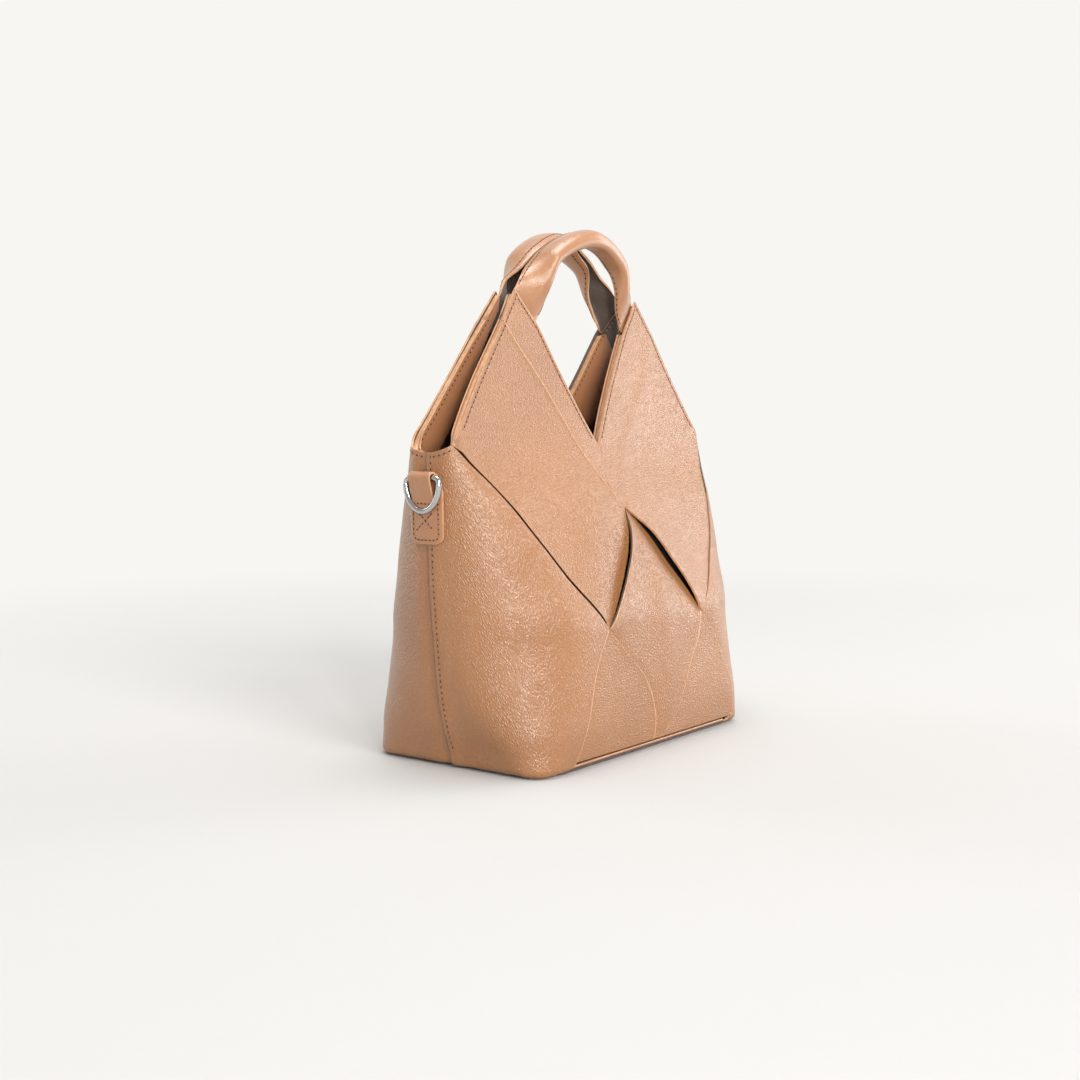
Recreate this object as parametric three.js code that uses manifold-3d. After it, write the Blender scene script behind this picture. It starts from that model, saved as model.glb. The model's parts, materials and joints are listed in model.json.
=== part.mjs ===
// A small leather tote bag of wide interlaced panels, in millimetres.
// x runs along the front, the front faces -y, z is up and z = 0 is the underside of the base.
import * as THREE from 'three';
import { mergeVertices } from 'three/addons/utils/BufferGeometryUtils.js';
import Module from 'manifold-3d';

const wasm = await Module();
wasm.setup();

// Overall sizes
const shoulderHalfWidth = 139.3;
const baseHalfWidth = 118.3;
const bellyHalfDepth = 70.5;
const cornerRadius = 68;
const bodyHeight = 193;
const panelRise = 95.6;
const handleTopHeight = 330;

// Walls and clearances
const skinThickness = 1.5;
const seamGap = 0.6;
const slitGap = 1.2;
const seatGap = 0.3;
const layerGap = 1.2;
const weltThickness = 1.1;
const weltWidth = 6;
const facingThickness = 1.1;
const facingGap = 0.8;
const liningThickness = 1;
const liningSlack = 4;
const basePanelThickness = 2.5;

// Handles
const handleWall = 1.8;
const handleFoldDepth = 26;
const handleFlangeGap = 0.3;
const handleThickness = 13;
const handleTuckLength = 12;

// Ring tabs and rings
const tabWidth = 23.5;
const tabBottomHeight = 137;
const tabShoulderHeight = 168;
const tabThickness = 2.4;
const tabCornerRadius = 5;
const loopWidth = 16;
const loopWall = 1.5;
const ringWireRadius = 1.8;
const ringOuterWidth = 29;
const ringBarHeight = 176;
const ringDrop = 21.2;
const ringCornerRadius = 3.2;
const ringClearance = 0.5;
const loopReach = 0.68;

// Layers counted inwards from the outer face of the skin
const weltDepth = skinThickness + layerGap;
const facingDepth = weltDepth + weltThickness + layerGap;
const liningTopDepth = facingDepth + liningThickness / 2;
const wallFoot = basePanelThickness + seatGap;

// How finely the pieces are divided
const slitSteps = 7;
const shortSlitSteps = 6;
const creaseSteps = 5;
const sideSteps = 12;
const stripSteps = 3;
const lowerSteps = 4;
const liningRows = 8;

const leather = new THREE.MeshStandardMaterial({ color: 0xc99367, roughness: 0.48, metalness: 0 });
const facingLeather = new THREE.MeshStandardMaterial({ color: 0xb9835a, roughness: 0.6, metalness: 0 });
const liningCloth = new THREE.MeshStandardMaterial({ color: 0x4b3f38, roughness: 0.85, metalness: 0 });
const polishedMetal = new THREE.MeshStandardMaterial({ color: 0xc9cbd0, roughness: 0.15, metalness: 1 });

// Level cuts through the bag. body is a share of bodyHeight and rise a share of panelRise above it,
// flare goes from baseHalfWidth at 0 to shoulderHalfWidth at 1, depth is a share of bellyHalfDepth,
// edge is the depth next to the corner as a share of the depth in the middle, and corner is a share
// of cornerRadius.
const levelCuts = [
  { body: 0, rise: 0, flare: 0, depth: 0.95, edge: 1, corner: 0.24 },
  { body: 0.065, rise: 0, flare: 0.124, depth: 0.975, edge: 1.01, corner: 0.4 },
  { body: 0.135, rise: 0, flare: 0.362, depth: 0.99, edge: 1.02, corner: 0.59 },
  { body: 0.24, rise: 0, flare: 0.595, depth: 1, edge: 1.01, corner: 0.81 },
  { body: 0.43, rise: 0, flare: 0.8, depth: 0.993, edge: 1, corner: 1 },
  { body: 0.622, rise: 0, flare: 0.95, depth: 0.851, edge: 0.92, corner: 0.79 },
  { body: 0.793, rise: 0, flare: 0.985, depth: 0.644, edge: 0.91, corner: 0.56 },
  { body: 1, rise: 0, flare: 1, depth: 0.3475, edge: 0.76, corner: 0.135 },
  { body: 1, rise: 0.387, flare: 1, depth: 0.248, edge: 0.76, corner: 0.1 },
  { body: 1, rise: 0.785, flare: 1, depth: 0.184, edge: 0.78, corner: 0.08 },
  { body: 1, rise: 1, flare: 1, depth: 0.135, edge: 0.75, corner: 0.06 },
];

// Lines on the front, seen from the front. across is a share of shoulderHalfWidth, body a share of
// bodyHeight and rise a share of panelRise above it.
const peak = { across: 0.4774, body: 1, rise: 1 };
const handleRoot = { across: 0.341, body: 1, rise: 0.7803 };
const edgeStep = { across: 0.5822, body: 1, rise: 0.7981 };
const shoulder = { across: 0.982, body: 1, rise: 0.022 };
const notch = { across: 0, body: 1, rise: 0 };
const slitTop = { across: 0, body: 0.793, rise: 0 };
const slitFoot = { across: 0.3884, body: 0.4295, rise: 0 };

// From the shoulder down to the foot of the slits, where the side panel lies over the shoulder panel
const outerSlit = [
  shoulder,
  { across: 0.9476, body: 0.9585, rise: 0 },
  { across: 0.8686, body: 0.886, rise: 0 },
  { across: 0.7968, body: 0.8031, rise: 0 },
  { across: 0.7179, body: 0.715, rise: 0 },
  { across: 0.6317, body: 0.6269, rise: 0 },
  { across: 0.524, body: 0.5285, rise: 0 },
  slitFoot,
];

// From the top of the middle slits down to their foot, on the left and on the right
const innerSlits = {
  left: [
    slitTop,
    { across: 0.0215, body: 0.741, rise: 0 },
    { across: 0.0718, body: 0.684, rise: 0 },
    { across: 0.1938, body: 0.575, rise: 0 },
    slitFoot,
  ],
  right: [
    slitTop,
    { across: 0.1364, body: 0.7098, rise: 0 },
    { across: 0.2154, body: 0.632, rise: 0 },
    { across: 0.3087, body: 0.544, rise: 0 },
    slitFoot,
  ],
};

// From the step in the opening's edge down to the top of the middle slits
const stripLines = {
  left: [
    edgeStep,
    { across: 0.5025, body: 1, rise: 0.659 },
    { across: 0.4164, body: 1, rise: 0.523 },
    { across: 0.3266, body: 1, rise: 0.361 },
    { across: 0.2441, body: 1, rise: 0.1987 },
    { across: 0.1472, body: 0.987, rise: 0 },
    { across: 0.079, body: 0.891, rise: 0 },
    slitTop,
  ],
  right: [
    edgeStep,
    { across: 0.524, body: 1, rise: 0.523 },
    { across: 0.4307, body: 1, rise: 0.293 },
    { across: 0.2872, body: 1, rise: 0.0732 },
    { across: 0.194, body: 0.964, rise: 0 },
    { across: 0.086, body: 0.87, rise: 0 },
    slitTop,
  ],
};

// From the foot of the slits down to the middle of the bottom edge; the last point sits on it
const innerCreases = {
  left: [
    slitFoot,
    { across: 0.2441, body: 0.3368, rise: 0 },
    { across: 0.1149, body: 0.2591, rise: 0 },
    { across: 0.0431, body: 0.1813, rise: 0 },
    { across: 0.004, body: 0.1036, rise: 0 },
    { across: 0, body: 0, rise: 0 },
  ],
  right: [
    slitFoot,
    { across: 0.3589, body: 0.3472, rise: 0 },
    { across: 0.3015, body: 0.285, rise: 0 },
    { across: 0.2584, body: 0.2306, rise: 0 },
    { across: 0.1866, body: 0.1192, rise: 0 },
    { across: 0.1077, body: 0.0674, rise: 0 },
    { across: 0, body: 0, rise: 0 },
  ],
};

// From the foot of the slits down to the ends of the bottom edge
const outerCreases = {
  left: [
    slitFoot,
    { across: 0.4594, body: 0.3523, rise: 0 },
    { across: 0.5025, body: 0.2798, rise: 0 },
    { across: 0.5384, body: 0.1813, rise: 0 },
    { across: 0.5707, body: 0.1062, rise: 0 },
    { across: 0.6174, body: 0.0259, rise: 0 },
    { across: 0.679, body: 0, rise: 0 },
  ],
  right: [
    slitFoot,
    { across: 0.5097, body: 0.3368, rise: 0 },
    { across: 0.5922, body: 0.2487, rise: 0 },
    { across: 0.6461, body: 0.1969, rise: 0 },
    { across: 0.6892, body: 0.1399, rise: 0 },
    { across: 0.7, body: 0.0363, rise: 0 },
    { across: 0.679, body: 0, rise: 0 },
  ],
};

// Where the facings inside the openings end and the lining begins, from the middle out to the peak
// and from the peak round to the side seam
const notchFacingLine = [
  { across: 0, body: 0.87, rise: 0 },
  { across: 0.19, body: 0.975, rise: 0 },
  { across: 0.3733, body: 1, rise: 0.188 },
  { across: 0.4594, body: 1, rise: 0.628 },
];
const liningPeak = { across: 0.4882, body: 1, rise: 0.7845 };
const openingFacingLine = [
  { across: 0.5456, body: 1, rise: 0.617 },
  { across: 0.6317, body: 1, rise: 0.366 },
  { across: 0.725, body: 1, rise: 0.042 },
  { across: 0.85, body: 0.9, rise: 0 },
  { across: 0.95, body: 0.86, rise: 0 },
];
const openingFacingStart = { across: 0.483, body: 1, rise: 0.84 };
const openingBandStart = { across: 0.5478, body: 1, rise: 0.868 };
const facingFootShare = 0.85;
const notchBandShare = 0.86;

// Smooth value of one column at a height: cubic pieces whose slopes come from the rows beside them
const rowHeight = (row) => row.body * bodyHeight + row.rise * panelRise;
const cutHeights = levelCuts.map(rowHeight);

function columnAt(column, z) {
  const last = levelCuts.length - 1;
  const value = (i) => levelCuts[i][column];
  if (z <= cutHeights[0]) return value(0);
  if (z >= cutHeights[last]) return value(last);
  const i = cutHeights.findIndex((h) => h > z) - 1;
  const span = cutHeights[i + 1] - cutHeights[i];
  const chord = (k) => (value(k + 1) - value(k)) / (cutHeights[k + 1] - cutHeights[k]);
  const slope = (k) => {
    if (k === 0) return chord(0);
    if (k === last) return chord(last - 1);
    const before = chord(k - 1);
    const after = chord(k);
    return before * after <= 0 ? 0 : (2 * before * after) / (before + after);
  };
  const t = (z - cutHeights[i]) / span;
  const t2 = t * t;
  const t3 = t2 * t;
  return (
    value(i) * (2 * t3 - 3 * t2 + 1) +
    slope(i) * span * (t3 - 2 * t2 + t) +
    value(i + 1) * (3 * t2 - 2 * t3) +
    slope(i + 1) * span * (t3 - t2)
  );
}

function levelCut(z) {
  const flare = columnAt('flare', z);
  const halfWidth = baseHalfWidth + flare * (shoulderHalfWidth - baseHalfWidth);
  const halfDepth = columnAt('depth', z) * bellyHalfDepth;
  const edgeDepth = columnAt('edge', z) * halfDepth;
  const radius = Math.min(columnAt('corner', z) * cornerRadius, edgeDepth);
  const straight = halfWidth - radius;
  const arcEnd = straight + (radius * Math.PI) / 2;
  return { halfWidth, halfDepth, edgeDepth, radius, straight, arcEnd, seam: arcEnd + edgeDepth - radius };
}

// A place on the outer face: around is measured along the level cut from the middle of the front,
// past the side seam it goes on over the back, and depth goes inwards along the face's normal.
function facePoint(around, z) {
  const cut = levelCut(z);
  const side = Math.sign(around) || 1;
  const reach = Math.abs(around);
  const past = reach > cut.seam;
  const s = past ? 2 * cut.seam - reach : reach;
  let x = cut.halfWidth;
  let y = cut.edgeDepth - cut.radius - (s - cut.arcEnd);
  if (s <= cut.straight) {
    const crown = (1 + Math.cos((Math.PI * s) / cut.straight)) / 2;
    x = s;
    y = cut.edgeDepth + (cut.halfDepth - cut.edgeDepth) * crown;
  } else if (s <= cut.arcEnd) {
    const turn = (s - cut.straight) / cut.radius;
    x = cut.straight + cut.radius * Math.sin(turn);
    y = cut.edgeDepth - cut.radius * (1 - Math.cos(turn));
  }
  return new THREE.Vector3(side * x, past ? y : -y, z);
}

const probeStep = 0.5;

function bagPoint(around, z, depth) {
  const point = facePoint(around, z);
  const along = facePoint(around + probeStep, z).sub(facePoint(around - probeStep, z));
  const up = facePoint(around, z + probeStep).sub(facePoint(around, z - probeStep));
  point.addScaledVector(along.cross(up).normalize(), -depth);
  return point.setZ(Math.max(point.z, wallFoot));
}

// Turns a place given by its distance across the front into a distance round the level cut
function aroundAt(x, z) {
  const cut = levelCut(z);
  const reach = Math.abs(x);
  if (reach <= cut.straight) return x;
  const turn = Math.asin(Math.min(1, (reach - cut.straight) / cut.radius));
  return Math.sign(x) * (cut.straight + cut.radius * turn);
}

const seamAt = (z) => levelCut(z).seam;
const mirrorAround = (p) => new THREE.Vector2(2 * seamAt(p.y) - p.x, p.y);
const lerp = THREE.MathUtils.lerp;
const smoothstep = THREE.MathUtils.smoothstep;

// Evenly spaced places along a line given by rows; x of each Vector2 is the distance around
function lineAcross(rows, side, steps) {
  const points = rows.map((row) => {
    const z = Math.max(rowHeight(row), wallFoot);
    return new THREE.Vector3(side * row.across * shoulderHalfWidth, z, 0);
  });
  const curve = new THREE.CatmullRomCurve3(points, false, 'centripetal');
  return curve.getSpacedPoints(steps).map((p) => new THREE.Vector2(aroundAt(p.x, p.y), p.y));
}

function straightLine(from, to, steps) {
  return Array.from({ length: steps + 1 }, (_, i) => from.clone().lerp(to, i / steps));
}

const joined = (first, second) => [...first, ...second.slice(1)];
const reversed = (line) => [...line].reverse();

// Moves each side of a closed outline inwards by its own inset. The sides run anticlockwise.
function insetSides(sides) {
  const corners = [];
  sides.forEach(({ line, inset }) => {
    for (let i = 0; i < line.length - 1; i += 1) corners.push({ point: line[i], inset });
  });
  const count = corners.length;
  const moved = corners.map(({ point, inset }, i) => {
    const before = corners[(i + count - 1) % count];
    const after = corners[(i + 1) % count];
    const inward = (from, to) => {
      const d = to.clone().sub(from).normalize();
      return new THREE.Vector2(-d.y, d.x);
    };
    const n1 = inward(before.point, point);
    const n2 = inward(point, after.point);
    const cross = n1.x * n2.y - n1.y * n2.x;
    if (Math.abs(cross) < 0.05) return point.clone().addScaledVector(n2, (before.inset + inset) / 2);
    const x = (before.inset * n2.y - inset * n1.y) / cross;
    const y = (inset * n1.x - before.inset * n2.x) / cross;
    return point.clone().add(new THREE.Vector2(x, y));
  });
  let start = 0;
  return sides.map(({ line }) => {
    const shifted = line.map((_, i) => moved[(start + i) % count]);
    start += line.length - 1;
    return shifted;
  });
}

// Rows of places filled in between four sides: bottom, right, top and left, run anticlockwise
function fillSides([bottom, right, top, left]) {
  const across = Math.max(bottom.length, top.length) - 1;
  const up = right.length - 1;
  const low = (i) => bottom[bottom.length > 1 ? i : 0];
  const high = (i) => top[top.length > 1 ? across - i : 0];
  return Array.from({ length: up + 1 }, (_, j) =>
    Array.from({ length: across + 1 }, (__, i) => {
      const u = i / across;
      const v = j / up;
      const place = new THREE.Vector2();
      place.addScaledVector(low(i), 1 - v);
      place.addScaledVector(high(i), v);
      place.addScaledVector(left[up - j], 1 - u);
      place.addScaledVector(right[j], u);
      place.addScaledVector(low(0), -(1 - u) * (1 - v));
      place.addScaledVector(low(across), -u * (1 - v));
      place.addScaledVector(high(0), -(1 - u) * v);
      place.addScaledVector(high(across), -u * v);
      return place;
    }),
  );
}

function solidGeometry(positions, triangles) {
  let geometry = new THREE.BufferGeometry();
  const values = positions.flatMap((p) => p.toArray());
  geometry.setAttribute('position', new THREE.Float32BufferAttribute(values, 3));
  geometry.setIndex(triangles.flat());
  geometry = mergeVertices(geometry, 1e-4);
  const index = geometry.index.array;
  const kept = [];
  for (let i = 0; i < index.length; i += 3) {
    const [a, b, c] = [index[i], index[i + 1], index[i + 2]];
    if (a !== b && b !== c && c !== a) kept.push(a, b, c);
  }
  geometry.setIndex(kept);
  return geometry;
}

// A closed slab from rows of outer points and the inner point behind each
function slab(outer, inner) {
  const rows = outer.length;
  const columns = outer[0].length;
  const positions = [...outer.flat(), ...inner.flat()];
  const innerStart = rows * columns;
  const id = (j, i) => j * columns + i;
  const triangles = [];
  for (let j = 0; j < rows - 1; j += 1) {
    for (let i = 0; i < columns - 1; i += 1) {
      const [a, b, c, d] = [id(j, i), id(j, i + 1), id(j + 1, i + 1), id(j + 1, i)];
      triangles.push([a, b, c], [a, c, d]);
      triangles.push([a + innerStart, c + innerStart, b + innerStart]);
      triangles.push([a + innerStart, d + innerStart, c + innerStart]);
    }
  }
  const rim = [];
  for (let i = 0; i < columns - 1; i += 1) rim.push(id(0, i));
  for (let j = 0; j < rows - 1; j += 1) rim.push(id(j, columns - 1));
  for (let i = columns - 1; i > 0; i -= 1) rim.push(id(rows - 1, i));
  for (let j = rows - 1; j > 0; j -= 1) rim.push(id(j, 0));
  rim.forEach((a, k) => {
    const b = rim[(k + 1) % rim.length];
    triangles.push([a, a + innerStart, b + innerStart], [a, b + innerStart, b]);
  });
  return solidGeometry(positions, triangles);
}

function panel(places, thickness, depthAt) {
  const up = places.length - 1;
  const across = places[0].length - 1;
  const layer = (extra) =>
    places.map((row, j) =>
      row.map((p, i) => bagPoint(p.x, p.y, depthAt(i / across, j / up) + extra)),
    );
  return slab(layer(0), layer(thickness));
}

// A hump along one side of a panel: full at its middle, none at its ends, fading across the panel
const hump = (along, away) => Math.sin(Math.PI * THREE.MathUtils.clamp(along, 0, 1)) * (1 - away) ** 3;

// How far an edge stands over or dips under its neighbour at each line
const sidePanelLift = 0.9;
const shoulderDip = 1.2;
const slitLift = 2.2;
const slitDip = 1.8;
const stripStep = 0.4;

const group = new THREE.Group();

function addPiece(name, geometry, material, parent = group) {
  const mesh = new THREE.Mesh(geometry, material);
  mesh.name = name;
  mesh.castShadow = true;
  parent.add(mesh);
  return mesh;
}

// The back is the front turned half round, so the front's left pieces lie at the back's right
const back = new THREE.Group();
back.rotation.z = Math.PI;
group.add(back);
const otherSide = { left: 'right', right: 'left' };

function addFrontAndBack(side, piece, geometry, material) {
  addPiece(`front_${side}_${piece}`, geometry, material.clone());
  addPiece(`back_${otherSide[side]}_${piece}`, geometry.clone(), material.clone(), back);
}

// Sides are given for the right half, anticlockwise from the bottom, and turned over for the left
function insetHalf(side, sides) {
  if (side === 'right') return insetSides(sides);
  const [first, ...rest] = sides.map(({ line, inset }) => ({ line: reversed(line), inset }));
  const [bottom, ...others] = insetSides([first, ...rest.reverse()]);
  return [bottom, ...others.reverse()].map(reversed);
}

// Fills the sides of a half in, after turning the left half's sides back to run anticlockwise
function fillHalf(side, [bottom, outer, top, inner]) {
  if (side === 'right') return fillSides([bottom, outer, top, inner]);
  return fillSides([bottom, inner, top, outer].map(reversed));
}

const seamHalf = seamGap / 2;
const slitHalf = slitGap / 2;
const panelLines = {};
for (const side of ['left', 'right']) {
  const hand = side === 'left' ? -1 : 1;
  panelLines[side] = {
    outerSlit: lineAcross(outerSlit, hand, slitSteps),
    innerSlit: lineAcross(innerSlits[side], hand, shortSlitSteps),
    stripLine: lineAcross(stripLines[side], hand, slitSteps),
    innerCrease: lineAcross(innerCreases[side], hand, creaseSteps),
    outerCrease: lineAcross(outerCreases[side], hand, creaseSteps),
    openingEdge: lineAcross([edgeStep, shoulder], hand, shortSlitSteps),
    notchEdge: joined(
      lineAcross([peak, handleRoot], hand, 2),
      lineAcross([handleRoot, notch], hand, slitSteps - 2),
    ),
    peakEdge: lineAcross([peak, edgeStep], hand, stripSteps),
  };
}

function sidePanel(side) {
  const hand = side === 'left' ? -1 : 1;
  const line = panelLines[side];
  const inner = joined(line.outerSlit, line.outerCrease);
  const top = inner[0];
  const foot = inner[inner.length - 1];
  const seam = inner.map((p) => {
    const z = lerp(wallFoot, bodyHeight, (p.y - foot.y) / (top.y - foot.y));
    return new THREE.Vector2(hand * seamAt(z), z);
  });
  const topLine = straightLine(top, seam[0], sideSteps);
  const footLine = straightLine(foot, seam[seam.length - 1], sideSteps);
  const [bottom, outer, upper, slit, crease] = insetHalf(side, [
    { line: footLine, inset: 0 },
    { line: reversed(seam), inset: seamHalf },
    { line: reversed(topLine), inset: 0 },
    { line: line.outerSlit, inset: slitHalf },
    { line: line.outerCrease, inset: seamHalf },
  ]);
  const slitShare = slitSteps / (slitSteps + creaseSteps);
  return panel(fillHalf(side, [bottom, outer, upper, joined(slit, crease)]), skinThickness, (u, v) => {
    const away = side === 'right' ? u : 1 - u;
    return -sidePanelLift * hump((v - 1 + slitShare) / slitShare, away);
  });
}

function shoulderPanel(side) {
  const line = panelLines[side];
  const sides = insetHalf(side, [
    { line: line.innerSlit, inset: slitHalf },
    { line: reversed(line.outerSlit), inset: slitHalf },
    { line: reversed(line.openingEdge), inset: 0 },
    { line: line.stripLine, inset: seamHalf },
  ]);
  return panel(fillHalf(side, sides), skinThickness, (u, v) => {
    const outward = side === 'right' ? u : 1 - u;
    const outerDip = shoulderDip * hump(v, 1 - outward);
    const slitDepth = (side === 'left' ? slitDip : -slitLift) * hump(outward, v);
    return outerDip + slitDepth - stripStep * (1 - outward) ** 3;
  });
}

function peakStrip(side) {
  const line = panelLines[side];
  const bottom = straightLine(line.notchEdge[slitSteps], line.stripLine[slitSteps], stripSteps);
  const sides = insetHalf(side, [
    { line: bottom, inset: seamHalf },
    { line: reversed(line.stripLine), inset: seamHalf },
    { line: reversed(line.peakEdge), inset: 0 },
    { line: line.notchEdge, inset: 0 },
  ]);
  return panel(fillHalf(side, sides), skinThickness, () => 0);
}

function lowerPanel(side) {
  const line = panelLines[side];
  const bottom = straightLine(line.innerCrease[creaseSteps], line.outerCrease[creaseSteps], lowerSteps);
  const [foot, outer, inner] = insetHalf(side, [
    { line: bottom, inset: 0 },
    { line: reversed(line.outerCrease), inset: seamHalf },
    { line: line.innerCrease, inset: seamHalf },
  ]);
  return panel(fillHalf(side, [foot, outer, [inner[0]], inner]), skinThickness, () => 0);
}

function centrePanel() {
  const { left, right } = panelLines;
  const [rightCrease, rightSlit, leftSlit, leftCrease] = insetSides([
    { line: reversed(right.innerCrease), inset: seamHalf },
    { line: reversed(right.innerSlit), inset: slitHalf },
    { line: left.innerSlit, inset: slitHalf },
    { line: left.innerCrease, inset: seamHalf },
  ]);
  const fromLine = reversed(joined(leftSlit, leftCrease));
  const toLine = joined(rightCrease, rightSlit);
  const places = fromLine.map((from, j) => straightLine(from, toLine[j], shortSlitSteps));
  const slitShare = shortSlitSteps / (shortSlitSteps + creaseSteps);
  return panel(places, skinThickness, (u, v) => {
    const along = (v - 1 + slitShare) / slitShare;
    return slitDip * hump(along, 1 - u) - slitLift * hump(along, u);
  });
}

for (const side of ['left', 'right']) {
  addFrontAndBack(side, 'side_panel', sidePanel(side), leather);
  addFrontAndBack(side, 'shoulder_panel', shoulderPanel(side), leather);
  addFrontAndBack(side, 'peak_strip', peakStrip(side), leather);
  addFrontAndBack(side, 'lower_panel', lowerPanel(side), leather);
}
const centreGeometry = centrePanel();
addPiece('front_centre_panel', centreGeometry, leather.clone());
addPiece('back_centre_panel', centreGeometry.clone(), leather.clone(), back);

// Bands behind the skin: rows run from the inner line up to the edge, columns along the edge
function band(edge, inner, steps, depth, thickness) {
  const rows = Array.from({ length: steps + 1 }, (_, k) =>
    edge.map((p, i) => inner[i].clone().lerp(p, k / steps)),
  );
  return panel(rows, thickness, () => depth);
}

// A line beside another one, on its right-hand side
function besideLine(line, distance) {
  return line.map((p, i) => {
    const before = line[Math.max(i - 1, 0)];
    const after = line[Math.min(i + 1, line.length - 1)];
    const d1 = (i === 0 ? after.clone().sub(p) : p.clone().sub(before)).normalize();
    const d2 = (i === line.length - 1 ? p.clone().sub(before) : after.clone().sub(p)).normalize();
    const normal = new THREE.Vector2(d1.y + d2.y, -d1.x - d2.x);
    return p.clone().addScaledVector(normal, (2 * distance) / normal.lengthSq());
  });
}

const place = (row, side = 1) => lineAcross([row, row], side, 1)[0];
const mirrorAcross = (line) => reversed(line).map((p) => new THREE.Vector2(-p.x, p.y));
const mirrorAtSeam = (line) => reversed(line).map(mirrorAround);
const bothHands = (line) => joined(mirrorAcross(line), line);
const bothFaces = (line) => joined(line, mirrorAtSeam(line));

const notchBandSteps = notchFacingLine.length;
const rootPlace = place(handleRoot);
const notchPlace = place(notch);
const notchTop = notchPlace.clone().lerp(rootPlace, notchBandShare);
const notchRim = bothHands(straightLine(notchPlace, notchTop, notchBandSteps));
const notchFacingTop = notchPlace.clone().lerp(rootPlace, (1 + notchBandShare) / 2);
const notchFacingRim = straightLine(notchPlace, notchFacingTop, notchBandSteps);
const notchFacingInner = notchFacingLine.map((row) => place(row));
const notchFacingEnd = besideLine(notchFacingRim, weltWidth / 2)[notchBandSteps];
const notchFacing = band(
  bothHands(notchFacingRim),
  bothHands([...notchFacingInner, notchFacingEnd]),
  2,
  facingDepth,
  facingThickness,
);
const notchWelt = band(notchRim, besideLine(notchRim, weltWidth), 1, weltDepth, weltThickness);
addPiece('front_notch_welt', notchWelt, leather.clone());
addPiece('back_notch_welt', notchWelt.clone(), leather.clone(), back);
addPiece('front_notch_facing', notchFacing, facingLeather.clone());
addPiece('back_notch_facing', notchFacing.clone(), facingLeather.clone(), back);

const turnSteps = 2;
const openingSteps = openingFacingLine.length + 1 - turnSteps;
const shoulderPlace = place(shoulder);
const seamTop = new THREE.Vector2(seamAt(bodyHeight), bodyHeight);
const openingRim = bothFaces(
  joined(
    lineAcross([openingBandStart, edgeStep, shoulder], 1, openingSteps),
    straightLine(shoulderPlace, seamTop, turnSteps),
  ),
);
const facingFoot = facingFootShare * bodyHeight;
const openingInner = [openingFacingStart, ...openingFacingLine].map((row) => place(row));
const openingFacingInner = bothFaces([...openingInner, new THREE.Vector2(seamAt(facingFoot), facingFoot)]);
const openingFacing = band(openingRim, openingFacingInner, 2, facingDepth, facingThickness);
const openingWelt = band(openingRim, besideLine(openingRim, weltWidth), 1, weltDepth, weltThickness);
addPiece('right_opening_welt', openingWelt, leather.clone());
addPiece('left_opening_welt', openingWelt.clone(), leather.clone(), back);
addPiece('right_opening_facing', openingFacing, facingLeather.clone());
addPiece('left_opening_facing', openingFacing.clone(), facingLeather.clone(), back);

// A closed wall standing on a floor, from rings of outer points and the inner point behind each
function sack(outerRings, innerRings, outerFloor, innerFloor) {
  const rows = outerRings.length;
  const columns = outerRings[0].length;
  const positions = [...outerRings.flat(), ...innerRings.flat(), outerFloor, innerFloor];
  const innerStart = rows * columns;
  const [outerHub, innerHub] = [2 * innerStart, 2 * innerStart + 1];
  const triangles = [];
  for (let i = 0; i < columns; i += 1) {
    const next = (i + 1) % columns;
    for (let j = 0; j < rows - 1; j += 1) {
      const [a, b] = [j * columns + i, j * columns + next];
      const [c, d] = [b + columns, a + columns];
      triangles.push([a, b, c], [a, c, d]);
      triangles.push([a + innerStart, c + innerStart, b + innerStart]);
      triangles.push([a + innerStart, d + innerStart, c + innerStart]);
    }
    const [e, f] = [(rows - 1) * columns + i, (rows - 1) * columns + next];
    triangles.push([e, f, f + innerStart], [e, f + innerStart, e + innerStart]);
    triangles.push([outerHub, next, i], [innerHub, i + innerStart, next + innerStart]);
  }
  return solidGeometry(positions, triangles);
}

function lining() {
  const lowered = (p) => new THREE.Vector2(p.x, p.y - facingGap);
  const quarter = [...notchFacingLine, liningPeak, ...openingFacingLine].map((row) => lowered(place(row)));
  quarter.push(lowered(new THREE.Vector2(seamAt(facingFoot), facingFoot)));
  const topLine = bothHands(bothFaces(quarter));
  topLine.pop();
  const rings = (foot, extra) =>
    Array.from({ length: liningRows + 1 }, (_, j) => {
      const v = j / liningRows;
      return topLine.map((p) => {
        const z = lerp(foot, p.y, v);
        const share = p.x / seamAt(p.y);
        const slack = liningSlack * (1 - smoothstep(v, 0.7, 1));
        return bagPoint(share * seamAt(z), z, liningTopDepth + slack + extra);
      });
    });
  const floorTop = wallFoot + liningThickness;
  return sack(
    rings(wallFoot, 0),
    rings(floorTop, liningThickness),
    new THREE.Vector3(0, 0, wallFoot),
    new THREE.Vector3(0, 0, floorTop),
  );
}
addPiece('lining', lining(), liningCloth);

function basePanel() {
  const cut = levelCut(0);
  const arcSteps = 6;
  const corner = straightLine(
    new THREE.Vector2(cut.straight, 0),
    new THREE.Vector2(cut.arcEnd, 0),
    arcSteps,
  );
  const quarter = [new THREE.Vector2(0, 0), ...corner, new THREE.Vector2(cut.seam, 0)];
  const outline = bothHands(bothFaces(quarter));
  outline.pop();
  const shape = new THREE.Shape(
    outline.map((p) => {
      const point = facePoint(p.x, 0);
      return new THREE.Vector2(point.x, point.y);
    }),
  );
  const geometry = new THREE.ExtrudeGeometry(shape, { depth: basePanelThickness, bevelEnabled: false });
  return bare(geometry);
}

// A three.js shape reduced to shared corner points
function bare(geometry) {
  const plain = geometry.clone();
  plain.deleteAttribute('normal');
  plain.deleteAttribute('uv');
  return mergeVertices(plain, 1e-4);
}
addPiece('base_panel', basePanel(), leather.clone());

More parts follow.
